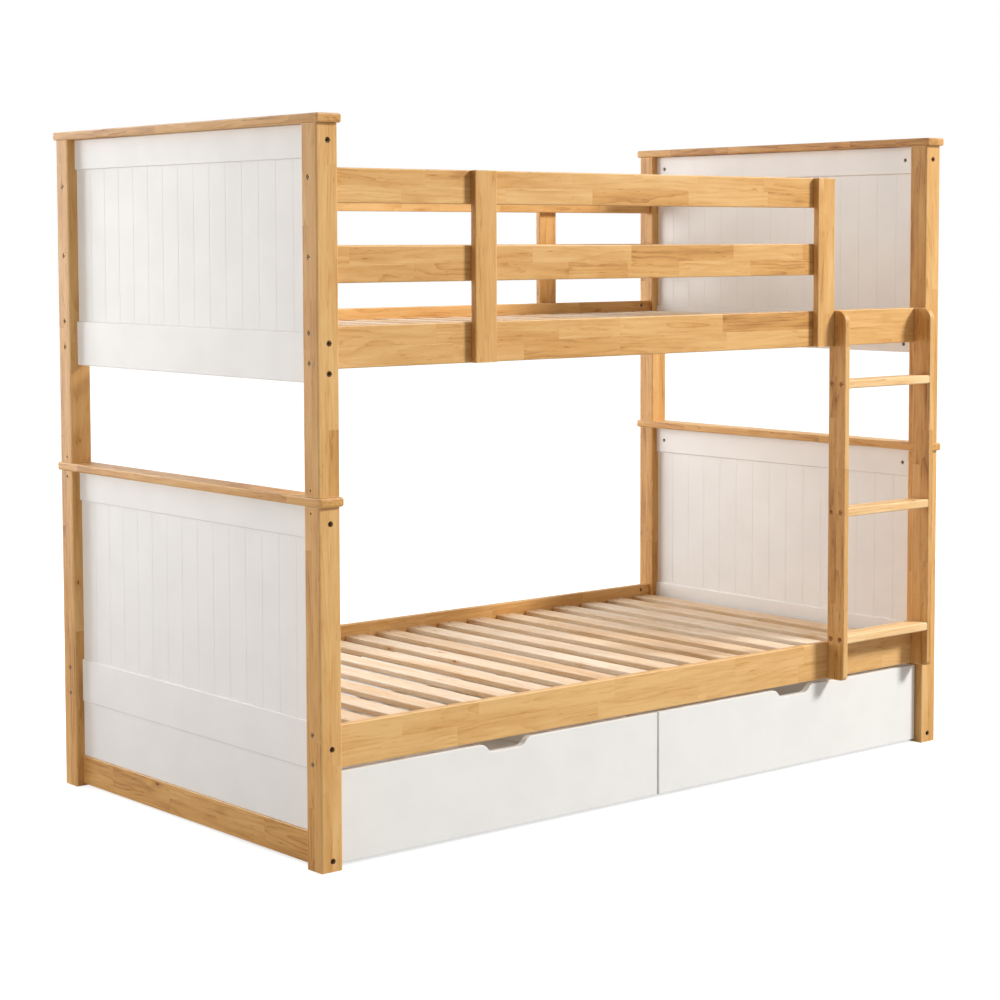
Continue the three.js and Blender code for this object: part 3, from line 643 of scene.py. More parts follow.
def carve(shape, cutter):
    """Takes the cutter out of the shape, if it holds anything."""
    if not cutter.faces:
        cutter.free()
        return shape
    blank, tool = stand("blank", poured("blank", shape)), stand("tool", poured("tool", cutter))
    cut = blank.modifiers.new("cut", "BOOLEAN")
    cut.operation, cut.solver, cut.object = "DIFFERENCE", "EXACT", tool
    mesh = settled(blank)
    settled(tool)
    result = bmesh.new()
    result.from_mesh(mesh)
    bpy.data.meshes.remove(mesh)
    return result


print("drill, rout and carve ready")

# %% [markdown]
# ## Gluing up the blocks
#
# A laminated bar is two or more staves side by side, and each stave is short blocks end to end. The
# mesh gets an edge at each joint, so that every face belongs to one block and can carry that block's
# numbers. The blocks are drawn from a seeded dice: most are pale, some are darker, and about one in
# twelve is brown. The same seed gives the same bar on each run.
#
# End grain drinks more lacquer than long grain, so butt ends are darker. Faces of posts, uprights, caps and
# other pieces that run up or across the bed, where they face its ends, get a painted shade: they are
# darkened for the light they miss.

# %% Dice for the blocks


def chance_tone(dice):
    """How dark a block is, from 0 to 1. Most blocks are pale, and a few are brown."""
    pick = dice.random()
    if pick < 0.62:
        return dice.uniform(0.14, 0.27)
    if pick < 0.92:
        return dice.uniform(0.27, 0.38)
    return dice.uniform(0.42, 0.56)


def block_ends(dice, start, stop, mean):
    """Where the joints lie along a stave."""
    ends = [start - dice.uniform(0.1, 0.8) * mean]
    while ends[-1] < stop:
        ends.append(ends[-1] + mean * dice.uniform(0.55, 1.5))
    return ends


print("a stave of 1 m:", [round(end, 2) for end in block_ends(random.Random(1), 0, 1, 0.3)])

# %% Blocks and their grain

AXES = [Vector((1, 0, 0)), Vector((0, 1, 0)), Vector((0, 0, 1))]
# BUTT_DARKER is the end grain's own tone; SIDE_PAINTED_SHADE is a painted shade on faces towards the bed's
# ends
BUTT_DARKER, SIDE_PAINTED_SHADE, DARKEST = 0.16, 0.2, 0.5
OUTER_HAIR, BLOCK_HAIR = 1e-4, 1e-6


def split(shape, faces, axis, level):
    """Gives these faces an edge where a plane across the axis meets them."""
    geometry = set(faces)
    geometry.update(e for f in faces for e in f.edges)
    geometry.update(v for f in faces for v in f.verts)
    bmesh.ops.bisect_plane(shape, geom=list(geometry), dist=SAME_LEVEL,
                           plane_co=AXES[axis] * level, plane_no=AXES[axis])


def glue_up(shape, low, high, run, staves, mean, seed, tones=None):
    """Cuts the mesh at every joint and writes each block's numbers on its faces.

    `staves` is how many lie across and through the bar, `mean` is a usual block's length, and `tones`
    sets the tone of single blocks, by the numbers of the stave and the block.
    """
    dice = random.Random(seed)
    across, through = sorted((a for a in range(3) if a != run), key=lambda a: low[a] - high[a])
    blocks = shape.faces.layers.float_vector.new("block")
    sizes = shape.faces.layers.float_vector.new("size")
    grains = shape.loops.layers.float_vector.new("grain")

    def stave_lines(axis, count):
        step = (high[axis] - low[axis]) / count
        return [low[axis] + i * step for i in range(count + 1)]

    def stave_faces(wide, deep):
        """The faces between two limits across the bar and two limits through it."""
        middles = [(f, f.calc_center_median()) for f in shape.faces]
        return [f for f, m in middles
                if wide[0] < m[across] <= wide[1] and deep[0] < m[through] <= deep[1]]

    def crosses(face, level):
        ends = [v.co[run] for v in face.verts]
        return min(ends) < level < max(ends)

    def write_numbers(face, tone, pith, chance, half, spot):
        darker = BUTT_DARKER if abs(face.normal[run]) > 0.8 else 0.0
        # Painted shade: on pieces that run up or across the bed, the faces towards its ends are darkened
        if run != 0 and abs(face.normal.x) > 0.7:
            darker = SIDE_PAINTED_SHADE
        face[blocks] = Vector((max(tone, min(tone + darker, DARKEST)), pith, chance))
        face[sizes] = half
        for loop in face.loops:
            step = loop.vert.co - spot
            loop[grains] = Vector((step[run], step[across], step[through]))

    across_lines, through_lines = stave_lines(across, staves[0]), stave_lines(through, staves[1])
    for axis, lines in ((across, across_lines), (through, through_lines)):
        for level in lines[1:-1]:
            split(shape, list(shape.faces), axis, level)
    for i, wide in enumerate(zip(across_lines, across_lines[1:])):
        for j, deep in enumerate(zip(through_lines, through_lines[1:])):
            # Faces on the bar's own sides lie just at the limit, so the outer staves reach further
            limits = ((wide[0] - OUTER_HAIR * (i == 0), wide[1] + OUTER_HAIR * (i == staves[0] - 1)),
                      (deep[0] - OUTER_HAIR * (j == 0), deep[1] + OUTER_HAIR * (j == staves[1] - 1)))
            ends = block_ends(dice, low[run], high[run], mean)
            for level in ends[1:-1]:
                crossed = [f for f in stave_faces(*limits) if crosses(f, level)]
                if crossed:
                    split(shape, crossed, run, level)
            drawn = [(chance_tone(dice), dice.random(), dice.random()) for _ in ends[1:]]
            mine = [(f, f.calc_center_median()[run]) for f in stave_faces(*limits)]
            for number, (start, stop) in enumerate(zip(ends, ends[1:])):
                tone, pith, chance = drawn[number]
                tone = (tones or {}).get((i + staves[0] * j, number), tone)
                start, stop = max(start, low[run]), min(stop, high[run])
                half = Vector(((stop - start) / 2, (wide[1] - wide[0]) / 2, (deep[1] - deep[0]) / 2))
                spot = Vector()
                spot[run], spot[across], spot[through] = (start + stop) / 2, sum(wide) / 2, sum(deep) / 2
                for face, place in mine:
                    if start - BLOCK_HAIR <= place <= stop + BLOCK_HAIR:
                        write_numbers(face, tone, pith, chance, half, spot)
    return shape


print("glue_up ready")

# %% [markdown]
# ## Finishing a piece
#
# Each finished piece is smooth along its rounded edges and flat on its faces. Smooth shading alone would
# bend the light across the big faces too, so Weighted Normal gives each corner the direction of the
# larger face. Its result is written into the mesh, and the modifier is gone before the piece is hung on
# the body that it moves with and the CAD pieces that it stands for are hidden.

# %% Settle a piece into the frame

made_pieces = []


def write_seat(mesh):
    """Writes the place on the whole board, and half its size, which the edge wear reads."""
    spots = [v.co.copy() for v in mesh.vertices]
    low = Vector([min(s[i] for s in spots) for i in range(3)])
    high = Vector([max(s[i] for s in spots) for i in range(3)])
    middle, half = (low + high) / 2, (high - low) / 2
    seat = mesh.attributes.new("seat", "FLOAT_VECTOR", "POINT")
    seat.data.foreach_set("vector", [c for s in spots for c in s - middle])
    size = mesh.attributes.new("half", "FLOAT_VECTOR", "POINT")
    size.data.foreach_set("vector", list(half) * len(spots))


def settle(name, shape, material, slot, body, *nodes, sharp=38):
    """Turns a BMesh or mesh into the finished piece, on its body, in place of its CAD nodes."""
    mesh = poured(name, shape) if isinstance(shape, bmesh.types.BMesh) else shape
    if "seat" not in mesh.attributes:
        write_seat(mesh)
    if material is not None:
        mesh.materials.clear()
        mesh.materials.append(material)
    mesh.polygons.foreach_set("use_smooth", [True] * len(mesh.polygons))
    mesh.set_sharp_from_angle(angle=math.radians(sharp))
    raw = stand(name, mesh)
    even = raw.modifiers.new("even", "WEIGHTED_NORMAL")
    even.keep_sharp = True
    final = settled(raw)
    final.name = name
    piece = stand(name, final)
    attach(piece, body)
    if nodes:
        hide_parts(*nodes)
    made_pieces.append(piece)
    return piece


def place_of(node):
    low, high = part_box(node)
    return Vector(low), Vector(high)


def natural_piece(name, shape, low, high, run, staves, mean, seed, *nodes, tones=None, wood=RUBBERWOOD):
    """A piece of laminated timber on the fixed bed."""
    glued = glue_up(shape, low, high, run, staves, mean, seed, tones)
    return settle(name, glued, wood, "natural_wood", "bed", *nodes)


def painted_piece(name, shape, *nodes):
    """A piece in white paint on the fixed bed."""
    return settle(name, shape, WHITE_PAINT, "white_paint", "bed", *nodes)


print("settle ready")

# %% [markdown]
# ## Where the hardware goes
#
# Rails are held to posts the usual way for a bed that has to come apart: a long bolt enters through the
# post, its head sunk in a pocket, and screws into a steel barrel nut that sits in a cross hole of the
# rail. So each joint has two round holes, and both are needed again to place the steel. `pocket` drills
# the hole and notes where the head or nut sits.

# %% Pockets for bolts, nuts and screws

# Hole radius, hole depth, and how far the metal lies below the face
HARDWARE = {
    "bolt": (0.0058, 0.014, 0.0016),
    "end_bolt": (0.0064, 0.016, 0.0025),
    "nut": (0.005, 0.014, 0.004),
    "lock": (0.0026, 0.008, 0.0012),
    "rung": (0.0068, 0.0075, 0.002),
}
hardware_spots = {kind: [] for kind in HARDWARE}


def pocket(cutter, kind, mouth, inward):
    radius, depth, sink = HARDWARE[kind]
    mouth, inward = Vector(mouth), Vector(inward)
    drill(cutter, mouth, inward, radius, depth)
    hardware_spots[kind].append((mouth + inward * sink, -inward))


print("kinds of hardware:", list(HARDWARE))

# %% Heights of the bolts

NUT_FROM_END = 0.032
BOLT_STEP = 0.032  # half the pitch where a rail end has two bolts
GUARD_BOLT_RISE = 0.016
STRETCHER_BOLT_HEIGHT = 0.023
BOTTOM_RAIL_HEIGHT = {"lower": 0.105, "upper": 0.107}


def middle_height(node):
    low, high = place_of(node)
    return (low.z + high.z) / 2


def bottom_rail_middle(level):
    return place_of(f"{level}_end_panel_left")[0].z + BOTTOM_RAIL_HEIGHT[level] / 2


def pair(height):
    return [height - BOLT_STEP, height + BOLT_STEP]


RAIL_BOLTS = {
    "lower_side": pair(middle_height("lower_side_rail_front")),
    "upper_side": pair(middle_height("upper_side_rail_front")),
    "guard_middle": [middle_height("front_guard_middle_rail") + GUARD_BOLT_RISE],
    "guard_top": [middle_height("front_guard_top_rail") + GUARD_BOLT_RISE],
}
END_BOLTS = {
    "stretcher": [STRETCHER_BOLT_HEIGHT],
    "lower_bottom": [bottom_rail_middle("lower")],
    "lower_top": [middle_height("lower_end_top_rail_left")],
    "upper_bottom": pair(bottom_rail_middle("upper")),
    "upper_top": [middle_height("upper_end_top_rail_left")],
}
print({key: [round(z, 3) for z in heights] for key, heights in {**RAIL_BOLTS, **END_BOLTS}.items()})

# %% [markdown]
# ## The eight posts
#
# Each post is 55 mm square, glued from four staves, with edges rounded to 4 mm. Bolt pockets are on its
# two outer faces: those for the long rails on the end face, those for the end rails on the front or
# rear face. A small screw near each middle cap locks the stacking pin. The pins stand on the lower
# posts, pass through the middle caps and enter the upper posts.

# %% Make the posts

CORNERS = [("front_left", -1, -1), ("front_right", 1, -1), ("rear_left", -1, 1), ("rear_right", 1, 1)]
POST_EDGE, POST_BLOCK = 0.004, 0.42
LOCK_FROM_CAP = 0.014
JOIN_GAP = 0.0003
PIN_RADIUS, PIN_ROOT, PIN_PLAY = 0.007, 0.01, 0.0004
LOWER_POST_TOP = place_of("middle_cap_left")[0].z - JOIN_GAP
PIN_TOP = place_of("lower_post_front_left")[1].z


def post(level, place, sx, sy, seed):
    node = f"{level}_post_{place}"
    row, side = place.split("_")
    low, high = place_of(node)
    sides = RAIL_BOLTS["upper_side"] + RAIL_BOLTS["guard_middle"] + RAIL_BOLTS["guard_top"]
    ends = END_BOLTS["upper_bottom"] + END_BOLTS["upper_top"]
    lock_z = low.z + LOCK_FROM_CAP
    if level == "lower":
        high.z = LOWER_POST_TOP
        sides = RAIL_BOLTS["lower_side"]
        ends = END_BOLTS["stretcher"] + END_BOLTS["lower_bottom"] + END_BOLTS["lower_top"]
        lock_z = high.z - LOCK_FROM_CAP
    side_y = sum(v.y for v in place_of(f"lower_side_rail_{row}")) / 2
    end_x = sum(v.x for v in place_of(f"stretcher_{side}")) / 2
    outer_x, outer_y = (high.x if sx > 0 else low.x), (high.y if sy > 0 else low.y)
    cutter = bmesh.new()
    for z in sides:
        pocket(cutter, "bolt", (outer_x, side_y, z), (-sx, 0, 0))
    for z in ends:
        pocket(cutter, "end_bolt", (end_x, outer_y, z), (0, -sy, 0))
    pocket(cutter, "lock", (outer_x, side_y, lock_z), (-sx, 0, 0))
    middle = (low + high) / 2
    if level == "lower":
        drill(cutter, (middle.x, middle.y, high.z), (0, 0, -1), PIN_RADIUS, PIN_ROOT)
    else:
        depth = PIN_TOP + CLEAR - low.z
        drill(cutter, (middle.x, middle.y, low.z), (0, 0, 1), PIN_RADIUS + PIN_PLAY, depth)
    shape = carve(bar(low, high, 2, POST_EDGE), cutter)
    natural_piece(node + "_timber", shape, low, high, 2, (2, 2), POST_BLOCK, seed, node)


for number, (place, sx, sy) in enumerate(CORNERS):
    post("lower", place, sx, sy, 11 + number)
    post("upper", place, sx, sy, 21 + number)
print("posts:", len(made_pieces), "pieces")

# %% Make the stacking pins

PIN_FOOT_RADIUS, PIN_TIP_RADIUS, PIN_FOOT, PIN_TIP = 0.0062, 0.0052, 0.0008, 0.002
pins = bmesh.new()
for place, _, _ in CORNERS:
    low, high = place_of(f"lower_post_{place}")
    foot = ((low.x + high.x) / 2, (low.y + high.y) / 2, LOWER_POST_TOP - PIN_ROOT)
    rise = PIN_TOP - foot[2]
    shaft = [(PIN_RADIUS, PIN_FOOT), (PIN_RADIUS, rise - PIN_TIP)]
    turned(pins, [(PIN_FOOT_RADIUS, 0), *shaft, (PIN_TIP_RADIUS, rise)], foot, (0, 0, 1))
settle("stacking_pins", pins, ZINC, "natural_wood", "bed", *[f"lower_post_{c[0]}" for c in CORNERS])
print("pins:", round(rise * 1000, 1), "mm long")

# %% [markdown]
# ## The caps
#
# A cap lies across each end, on top of the bed and between the bunks. It is one plank wide, glued end to
# end from short blocks, and rounded all round, at its corners too, because heads and hands meet it.
# Two of the blocks in the right top cap are clearly brown in the real bed, so that cap names them.

# %% Make the caps

CAP_EDGE, CAP_BLOCK = 0.0046, 0.19


def cap(node, seed, pinned, tones=None):
    low, high = place_of(node)
    cutter = bmesh.new()
    if pinned:
        for row in ("front", "rear"):
            post_low, post_high = place_of(f"upper_post_{row}_{node.split('_')[-1]}")
            mouth = ((post_low.x + post_high.x) / 2, (post_low.y + post_high.y) / 2, high.z)
            drill(cutter, mouth, (0, 0, -1), PIN_RADIUS + PIN_PLAY, high.z - low.z + CLEAR)
    shape = carve(bar(low, high, 1, CAP_EDGE, end=CAP_EDGE, segments=5), cutter)
    natural_piece(node + "_timber", shape, low, high, 1, (1, 1), CAP_BLOCK, seed, node, tones=tones)


cap("top_cap_left", 31, False)
cap("top_cap_right", 32, False, {(0, 1): 0.62, (0, 4): 0.6})
cap("middle_cap_left", 33, True)
cap("middle_cap_right", 34, True)
print("caps made:", [p.name for p in made_pieces[-4:]])

# %% [markdown]
# ## Side rails and guard rails
#
# The four side rails carry the decks, and the guard rails keep a sleeper in. All are two staves high and
# 20 mm thick, with nut holes on the inside, near the posts. The front guard rails stop at the ladder, so
# they have holes only at the left. The lower front rail is the palest of them in the real bed, so its
# blocks get tones near 0.

# %% Make the long rails

RAIL_EDGE, RAIL_BLOCK = 0.003, 0.3
MOST_BLOCKS = 12
PALE_BLOCKS = {
    (stave, block): 0.05 + 0.05 * ((block + stave) % 3) for stave in (0, 1) for block in range(MOST_BLOCKS)}


def long_rail(node, bolts, sy, seed, ends=(-1, 1), tones=None):
    low, high = place_of(node)
    cutter = bmesh.new()
    inner_y = high.y if sy < 0 else low.y
    for side in ends:
        x = low.x + NUT_FROM_END if side < 0 else high.x - NUT_FROM_END
        for z in bolts:
            pocket(cutter, "nut", (x, inner_y, z), (0, sy, 0))
    shape = carve(bar(low, high, 0, RAIL_EDGE), cutter)
    natural_piece(node + "_timber", shape, low, high, 0, (2, 1), RAIL_BLOCK, seed, node, tones=tones)


SIDES_OF_BED = (("front", -1, (-1,), PALE_BLOCKS), ("rear", 1, (-1, 1), None))
for number, (row, sy, guard_ends, tones) in enumerate(SIDES_OF_BED):
    long_rail(f"lower_side_rail_{row}", RAIL_BOLTS["lower_side"], sy, 41 + number, tones=tones)
    long_rail(f"upper_side_rail_{row}", RAIL_BOLTS["upper_side"], sy, 43 + number)
    long_rail(f"{row}_guard_middle_rail", RAIL_BOLTS["guard_middle"], sy, 45 + number, guard_ends)
    long_rail(f"{row}_guard_top_rail", RAIL_BOLTS["guard_top"], sy, 47 + number, guard_ends)
print("rails: up to", made_pieces[-1].name)

# %% Make the guard stiles

WHOLE_LENGTH = 3.0  # longer than any stile, so it is one block


def stile(node, seed, tone):
    low, high = place_of(node)
    shape = bar(low, high, 2, RAIL_EDGE)
    natural_piece(node + "_timber", shape, low, high, 2, (1, 1), WHOLE_LENGTH, seed, node,
                  tones={(0, 0): tone})


stile("front_guard_stile_left", 57, 0.3)
stile("front_guard_stile_right", 52, 0.3)
stile("rear_guard_stile", 53, 0.4)
print("stiles: up to", made_pieces[-1].name)

# %% [markdown]
# ## Painted end rails, skirts and stretchers
#
# Each end is a frame: a top rail and a bottom rail with a groove that holds the beadboard. The lower
# end has a plain skirt board below, and a natural stretcher near the floor. Rails are bolted like the
# long ones, with their nut holes on the inside.

# %% Make the end rails

END_EDGE, STRETCHER_BLOCK = 0.0025, 0.3
BEADBOARD_THICKNESS = 0.008
GROOVE_DEPTH, GROOVE_PLAY = 0.0084, 0.0004
SKIRT_EDGE, SKIRT_END = 0.001, 0.0005


def end_rail(low, high, bolts, sx, groove=0):
    """A bolted rail. groove is 1 for a groove in the upper edge, -1 in the lower edge, 0 for none."""
    cutter = bmesh.new()
    inner_x = low.x if sx > 0 else high.x
    for y in (low.y + NUT_FROM_END, high.y - NUT_FROM_END):
        for z in bolts:
            pocket(cutter, "nut", (inner_x, y, z), (sx, 0, 0))
    if groove:
        half = BEADBOARD_THICKNESS / 2 + GROOVE_PLAY
        middle = (low.x + high.x) / 2
        edge = high.z if groove > 0 else low.z
        rout(cutter, (middle - half, low.y - CLEAR, edge - GROOVE_DEPTH),
             (middle + half, high.y + CLEAR, edge + GROOVE_DEPTH))
    return carve(bar(low, high, 1, END_EDGE), cutter)


for side, sx in (("left", -1), ("right", 1)):
    for level in ("lower", "upper"):
        node = f"{level}_end_top_rail_{side}"
        low, high = place_of(node)
        painted_piece(node + "_painted", end_rail(low, high, END_BOLTS[f"{level}_top"], sx, -1), node)
        node = f"{level}_end_panel_{side}"
        panel_low, panel_high = place_of(node)
        rail_low = Vector((low.x, panel_low.y, panel_low.z))
        rail_high = Vector((high.x, panel_high.y, panel_low.z + BOTTOM_RAIL_HEIGHT[level]))
        shape = end_rail(rail_low, rail_high, END_BOLTS[f"{level}_bottom"], sx, 1)
        painted_piece(f"{level}_end_bottom_rail_{side}_painted", shape, node)
    node = f"skirt_{side}"
    painted_piece(node + "_painted", bar(*place_of(node), 1, SKIRT_EDGE, end=SKIRT_END), node)
    node = f"stretcher_{side}"
    low, high = place_of(node)
    shape = end_rail(low, high, END_BOLTS["stretcher"], sx)
    seed = 61 if sx < 0 else 62
    natural_piece(node + "_timber", shape, low, high, 1, (1, 1), STRETCHER_BLOCK, seed, node)
print("end frames made, total", len(made_pieces))

# %% [markdown]
# ## Beadboard
#
# The panels are boards with a narrow groove where two of them meet, shallow on the outside and a mere
# scratch on the inside. Fifteen boards repeat at an even step, which is a job for Geometry Nodes: one
# board is a profile swept upwards, with a thinner core inside it that closes the groove. A line of
# points says where the copies stand, and Realize Instances turns them into real mesh. The tree has
# named inputs for its sizes, so both heights of panel use it.

# %% Helpers for Geometry Nodes

FLOAT, INTEGER, VECTOR = "NodeSocketFloat", "NodeSocketInt", "NodeSocketVector"
MATERIAL, GEOMETRY = "NodeSocketMaterial", "NodeSocketGeometry"


def new_tree(name, inputs):
    """An empty Geometry Nodes tree with named inputs."""
    return new_group(name, inputs, [("Geometry", GEOMETRY)], "GeometryNodeTree")


def grow(name, tree, values, start=None):
    """Runs a tree on a start mesh and returns the plain mesh that it makes."""
    item = stand(name, start or bpy.data.meshes.new(name))
    modifier = item.modifiers.new("grow", "NODES")
    modifier.node_group = tree
    for socket in tree.interface.items_tree:
        if socket.item_type == "SOCKET" and socket.in_out == "INPUT" and socket.name in values:
            modifier[socket.identifier] = values[socket.name]
    item.update_tag()
    return settled(item)


def make(tree, kind, inputs, **settings):
    """One geometry node's first output."""
    return add(tree, "GeometryNode" + kind, inputs, **settings).outputs[0]


def halved(tree, *sizes):
    """Half of each of three sizes, as one vector."""
    return combine(tree, *(calc(tree, "MULTIPLY", size, 0.5) for size in sizes))


def store(tree, geometry, name, value, domain="POINT"):
    """Writes a named vector on the geometry."""
    inputs = {"Geometry": geometry, "Name": name}
    node = add(tree, "GeometryNodeStoreNamedAttribute", inputs, data_type="FLOAT_VECTOR", domain=domain)
    feed(tree, node.inputs["Value"], value)
    return node.outputs[0]


def join(tree, *parts):
    node = add(tree, "GeometryNodeJoinGeometry")
    for part in parts:
        tree.links.new(part, node.inputs[0])
    return node.outputs[0]


def swept_board(tree, across, upward, length_along, edge, steps):
    """A board that runs along Y from nought, with its four long edges eased in so many steps."""
    sizes = {"Width": across, "Height": upward}
    outline = make(tree, "CurvePrimitiveQuadrilateral", sizes, mode="RECTANGLE")
    easing = {"Curve": outline, "Count": steps, "Radius": edge, "Limit Radius": True}
    eased = make(tree, "FilletCurve", easing, mode="POLY")
    path = make(tree, "CurvePrimitiveLine", {"End": combine(tree, 0.0, length_along)})
    upright = make(tree, "SetCurveNormal", {"Curve": path}, mode="Z_UP")
    return make(tree, "CurveToMesh", {"Curve": upright, "Profile Curve": eased, "Fill Caps": True})


def row_of(tree, piece, count, start, step):
    """Copies of one piece on a line of points."""
    line = make(tree, "MeshLine", {"Count": count, "Start Location": start, "Offset": step})
    return make(tree, "InstanceOnPoints", {"Points": line, "Instance": piece})


def finish_tree(tree, result, geometry, material):
    realized = make(tree, "RealizeInstances", {0: geometry})
    feed(tree, result.inputs[0], make(tree, "SetMaterial", {"Geometry": realized, "Material": material}))


print("geometry helpers ready")

# %% The beadboard tree

FACE_EASING, CORE_EASING = (0.0003, 2), (0.0001, 1)


def beadboard_tree():
    tree, given, result = new_tree("beadboard", [
        ("Start", VECTOR, None), ("Pitch", FLOAT, 0.065), ("Count", INTEGER, 15), ("Height", FLOAT, 0.5),
        ("Thickness", FLOAT, 0.008), ("Groove", FLOAT, 0.0007), ("Core", FLOAT, 0.0056),
        ("Core Shift", FLOAT, 0.0), ("Finish", MATERIAL, None)])
    thickness, pitch, height = given["Thickness"], given["Pitch"], given["Height"]
    width = calc(tree, "SUBTRACT", pitch, given["Groove"])
    face = swept_board(tree, thickness, width, height, *FACE_EASING)
    core = swept_board(tree, given["Core"], pitch, height, *CORE_EASING)
    core = make(tree, "Transform", {"Geometry": core, "Translation": combine(tree, given["Core Shift"])})
    lying = join(tree, face, core)
    plank = make(tree, "Transform", {"Geometry": lying, "Rotation": (math.pi / 2, 0, 0)})
    half = halved(tree, thickness, pitch, height)
    middle = vector_calc(tree, "MULTIPLY", half, (0, 0, 1))
    seat = vector_calc(tree, "SUBTRACT", make(tree, "InputPosition", {}), middle)
    plank = store(tree, store(tree, plank, "seat", seat), "half", half)
    boards = row_of(tree, plank, given["Count"], given["Start"], combine(tree, 0.0, pitch))
    finish_tree(tree, result, boards, given["Finish"])
    return tree


BEADBOARD = beadboard_tree()
BEADS = 15
OUTER_DEPTH, INNER_DEPTH = 0.0004, 0.0003
BEAD_SHARP = 20
for side, sx in (("left", -1), ("right", 1)):
    for level in ("lower", "upper"):
        node, name = f"{level}_end_panel_{side}", f"{level}_beadboard_{side}"
        low, high = place_of(node)
        pitch = (high.y - low.y) / BEADS
        foot = low.z + BOTTOM_RAIL_HEIGHT[level] - GROOVE_DEPTH + GROOVE_PLAY
        mesh = grow(name, BEADBOARD, {
            "Start": ((low.x + high.x) / 2, low.y + pitch / 2, foot),
            "Pitch": pitch, "Count": BEADS, "Height": high.z - foot, "Thickness": BEADBOARD_THICKNESS,
            "Core": BEADBOARD_THICKNESS - OUTER_DEPTH - INNER_DEPTH,
            "Core Shift": -sx * (OUTER_DEPTH - INNER_DEPTH) / 2, "Finish": WHITE_PAINT})
        boards = settle(name, mesh, None, "white_paint", "bed", node, sharp=BEAD_SHARP)
        print(boards.name, len(boards.data.polygons), "faces, boards of", round(pitch * 1000, 1), "mm")

# %% [markdown]
# ## The slat decks
#
# Eighteen slats lie across each bunk on a cleat along each rail, pushed up to the ladder end. They
# repeat at one step, and differ only in their wood. One slat is swept from a rounded profile, copied
# along a line, and each copy gets its own chance values before it becomes real mesh, so no two slats
# share their grain.

# %% The slat tree

PALEST_SLAT, DARKEST_SLAT = 0.0, 0.34


def slat_tree():
    tree, given, result = new_tree("slat_deck", [
        ("Start", VECTOR, None), ("Pitch", FLOAT, 0.1), ("Count", INTEGER, 18), ("Length", FLOAT, 1.0),
        ("Width", FLOAT, 0.06), ("Thickness", FLOAT, 0.014), ("Edge", FLOAT, 0.0025),
        ("Seed", INTEGER, 5), ("Finish", MATERIAL, None)])
    width, thickness, long_way = given["Width"], given["Thickness"], given["Length"]
    lying = swept_board(tree, width, thickness, long_way, given["Edge"], 3)
    back = combine(tree, 0.0, calc(tree, "MULTIPLY", long_way, -0.5))
    slat = make(tree, "Transform", {"Geometry": lying, "Translation": back})
    x, y, z = separate(tree, make(tree, "InputPosition", {}))
    for name in ("grain", "seat"):
        slat = store(tree, slat, name, combine(tree, y, x, z))
    half = halved(tree, long_way, width, thickness)
    for name in ("size", "half"):
        slat = store(tree, slat, name, half)
    slats = row_of(tree, slat, given["Count"], given["Start"], combine(tree, given["Pitch"]))
    chances = {0: (PALEST_SLAT, 0, 0), 1: (DARKEST_SLAT, 1, 1), "Seed": given["Seed"]}
    dice = add(tree, "FunctionNodeRandomValue", chances, data_type="FLOAT_VECTOR").outputs[0]
    slats = store(tree, slats, "block", dice, domain="INSTANCE")
    finish_tree(tree, result, slats, given["Finish"])
    return tree


SLATS = slat_tree()
print("slat tree:", len(SLATS.nodes), "nodes")

# %% Make the decks

SLAT_COUNT, SLAT_WIDTH, SLAT_THICKNESS, SLAT_EDGE, SLAT_END_GAP = 18, 0.06, 0.014, 0.0025, 0.0015
FROM_LADDER_END, FROM_OTHER_END = 0.005, 0.03
CLEAT_WIDTH, CLEAT_EDGE, CLEAT_TONE = 0.024, 0.0015, 0.35
PROUD = 0.0001  # how far a screw head stands above the face
slat_screws = []


def deck(level, seed):
    node = f"{level}_slat_deck"
    low, high = place_of(node)
    span_low = place_of("lower_post_front_left")[1].x
    first = span_low + FROM_OTHER_END + SLAT_WIDTH / 2
    last = -span_low - FROM_LADDER_END - SLAT_WIDTH / 2
    pitch = (last - first) / (SLAT_COUNT - 1)
    mesh = grow(node + "_slats", SLATS, {
        "Start": (first, (low.y + high.y) / 2, high.z - SLAT_THICKNESS / 2), "Pitch": pitch,
        "Count": SLAT_COUNT, "Length": high.y - low.y - 2 * SLAT_END_GAP, "Width": SLAT_WIDTH,
        "Thickness": SLAT_THICKNESS, "Edge": SLAT_EDGE, "Seed": seed, "Finish": SLAT_WOOD})
    slats = settle(node + "_slats", mesh, None, "slat_wood", "bed", node)
    gap = round((pitch - SLAT_WIDTH) * 1000, 1)
    print(slats.name, len(slats.data.polygons), "faces, clear gap", gap, "mm")
    for row, y in (("front", low.y), ("rear", high.y - CLEAT_WIDTH)):
        cleat_low = Vector((span_low + JOIN_GAP, y, low.z))
        cleat_high = Vector((-span_low - JOIN_GAP, y + CLEAT_WIDTH, high.z - SLAT_THICKNESS))
        blank = bar(cleat_low, cleat_high, 0, CLEAT_EDGE)
        cleat = glue_up(blank, cleat_low, cleat_high, 0, (1, 1), WHOLE_LENGTH, seed + len(row),
                        {(0, 0): CLEAT_TONE})
        settle(f"{node}_{row}_cleat", cleat, SLAT_WOOD, "slat_wood", "bed", node)
        for i in range(SLAT_COUNT):
            spot = Vector((first + i * pitch, y + CLEAT_WIDTH / 2, high.z + PROUD))
            slat_screws.append((spot, Vector((0, 0, 1))))


deck("lower", 71)
deck("upper", 72)

# %% [markdown]
# ## The ladder
#
# Two uprights stand in front of the rails, rounded at the head and foot where hands and shins pass, and
# square at the back where they meet the rails. Three flat rungs are let 6 mm into them, and two bolts
# go through the upright into each rung's end.

# %% Make the ladder

HEAD_RADIUS, FOOT_RADIUS, UPRIGHT_EDGE, UPRIGHT_BLOCK = 0.03, 0.012, 0.002, 0.34
RUNG_EDGE, RUNG_BLOCK, RUNG_BOLT_STEP = 0.004, 0.26, 0.0155
RUNGS = [f"ladder_rung_{i}" for i in (1, 2, 3)]


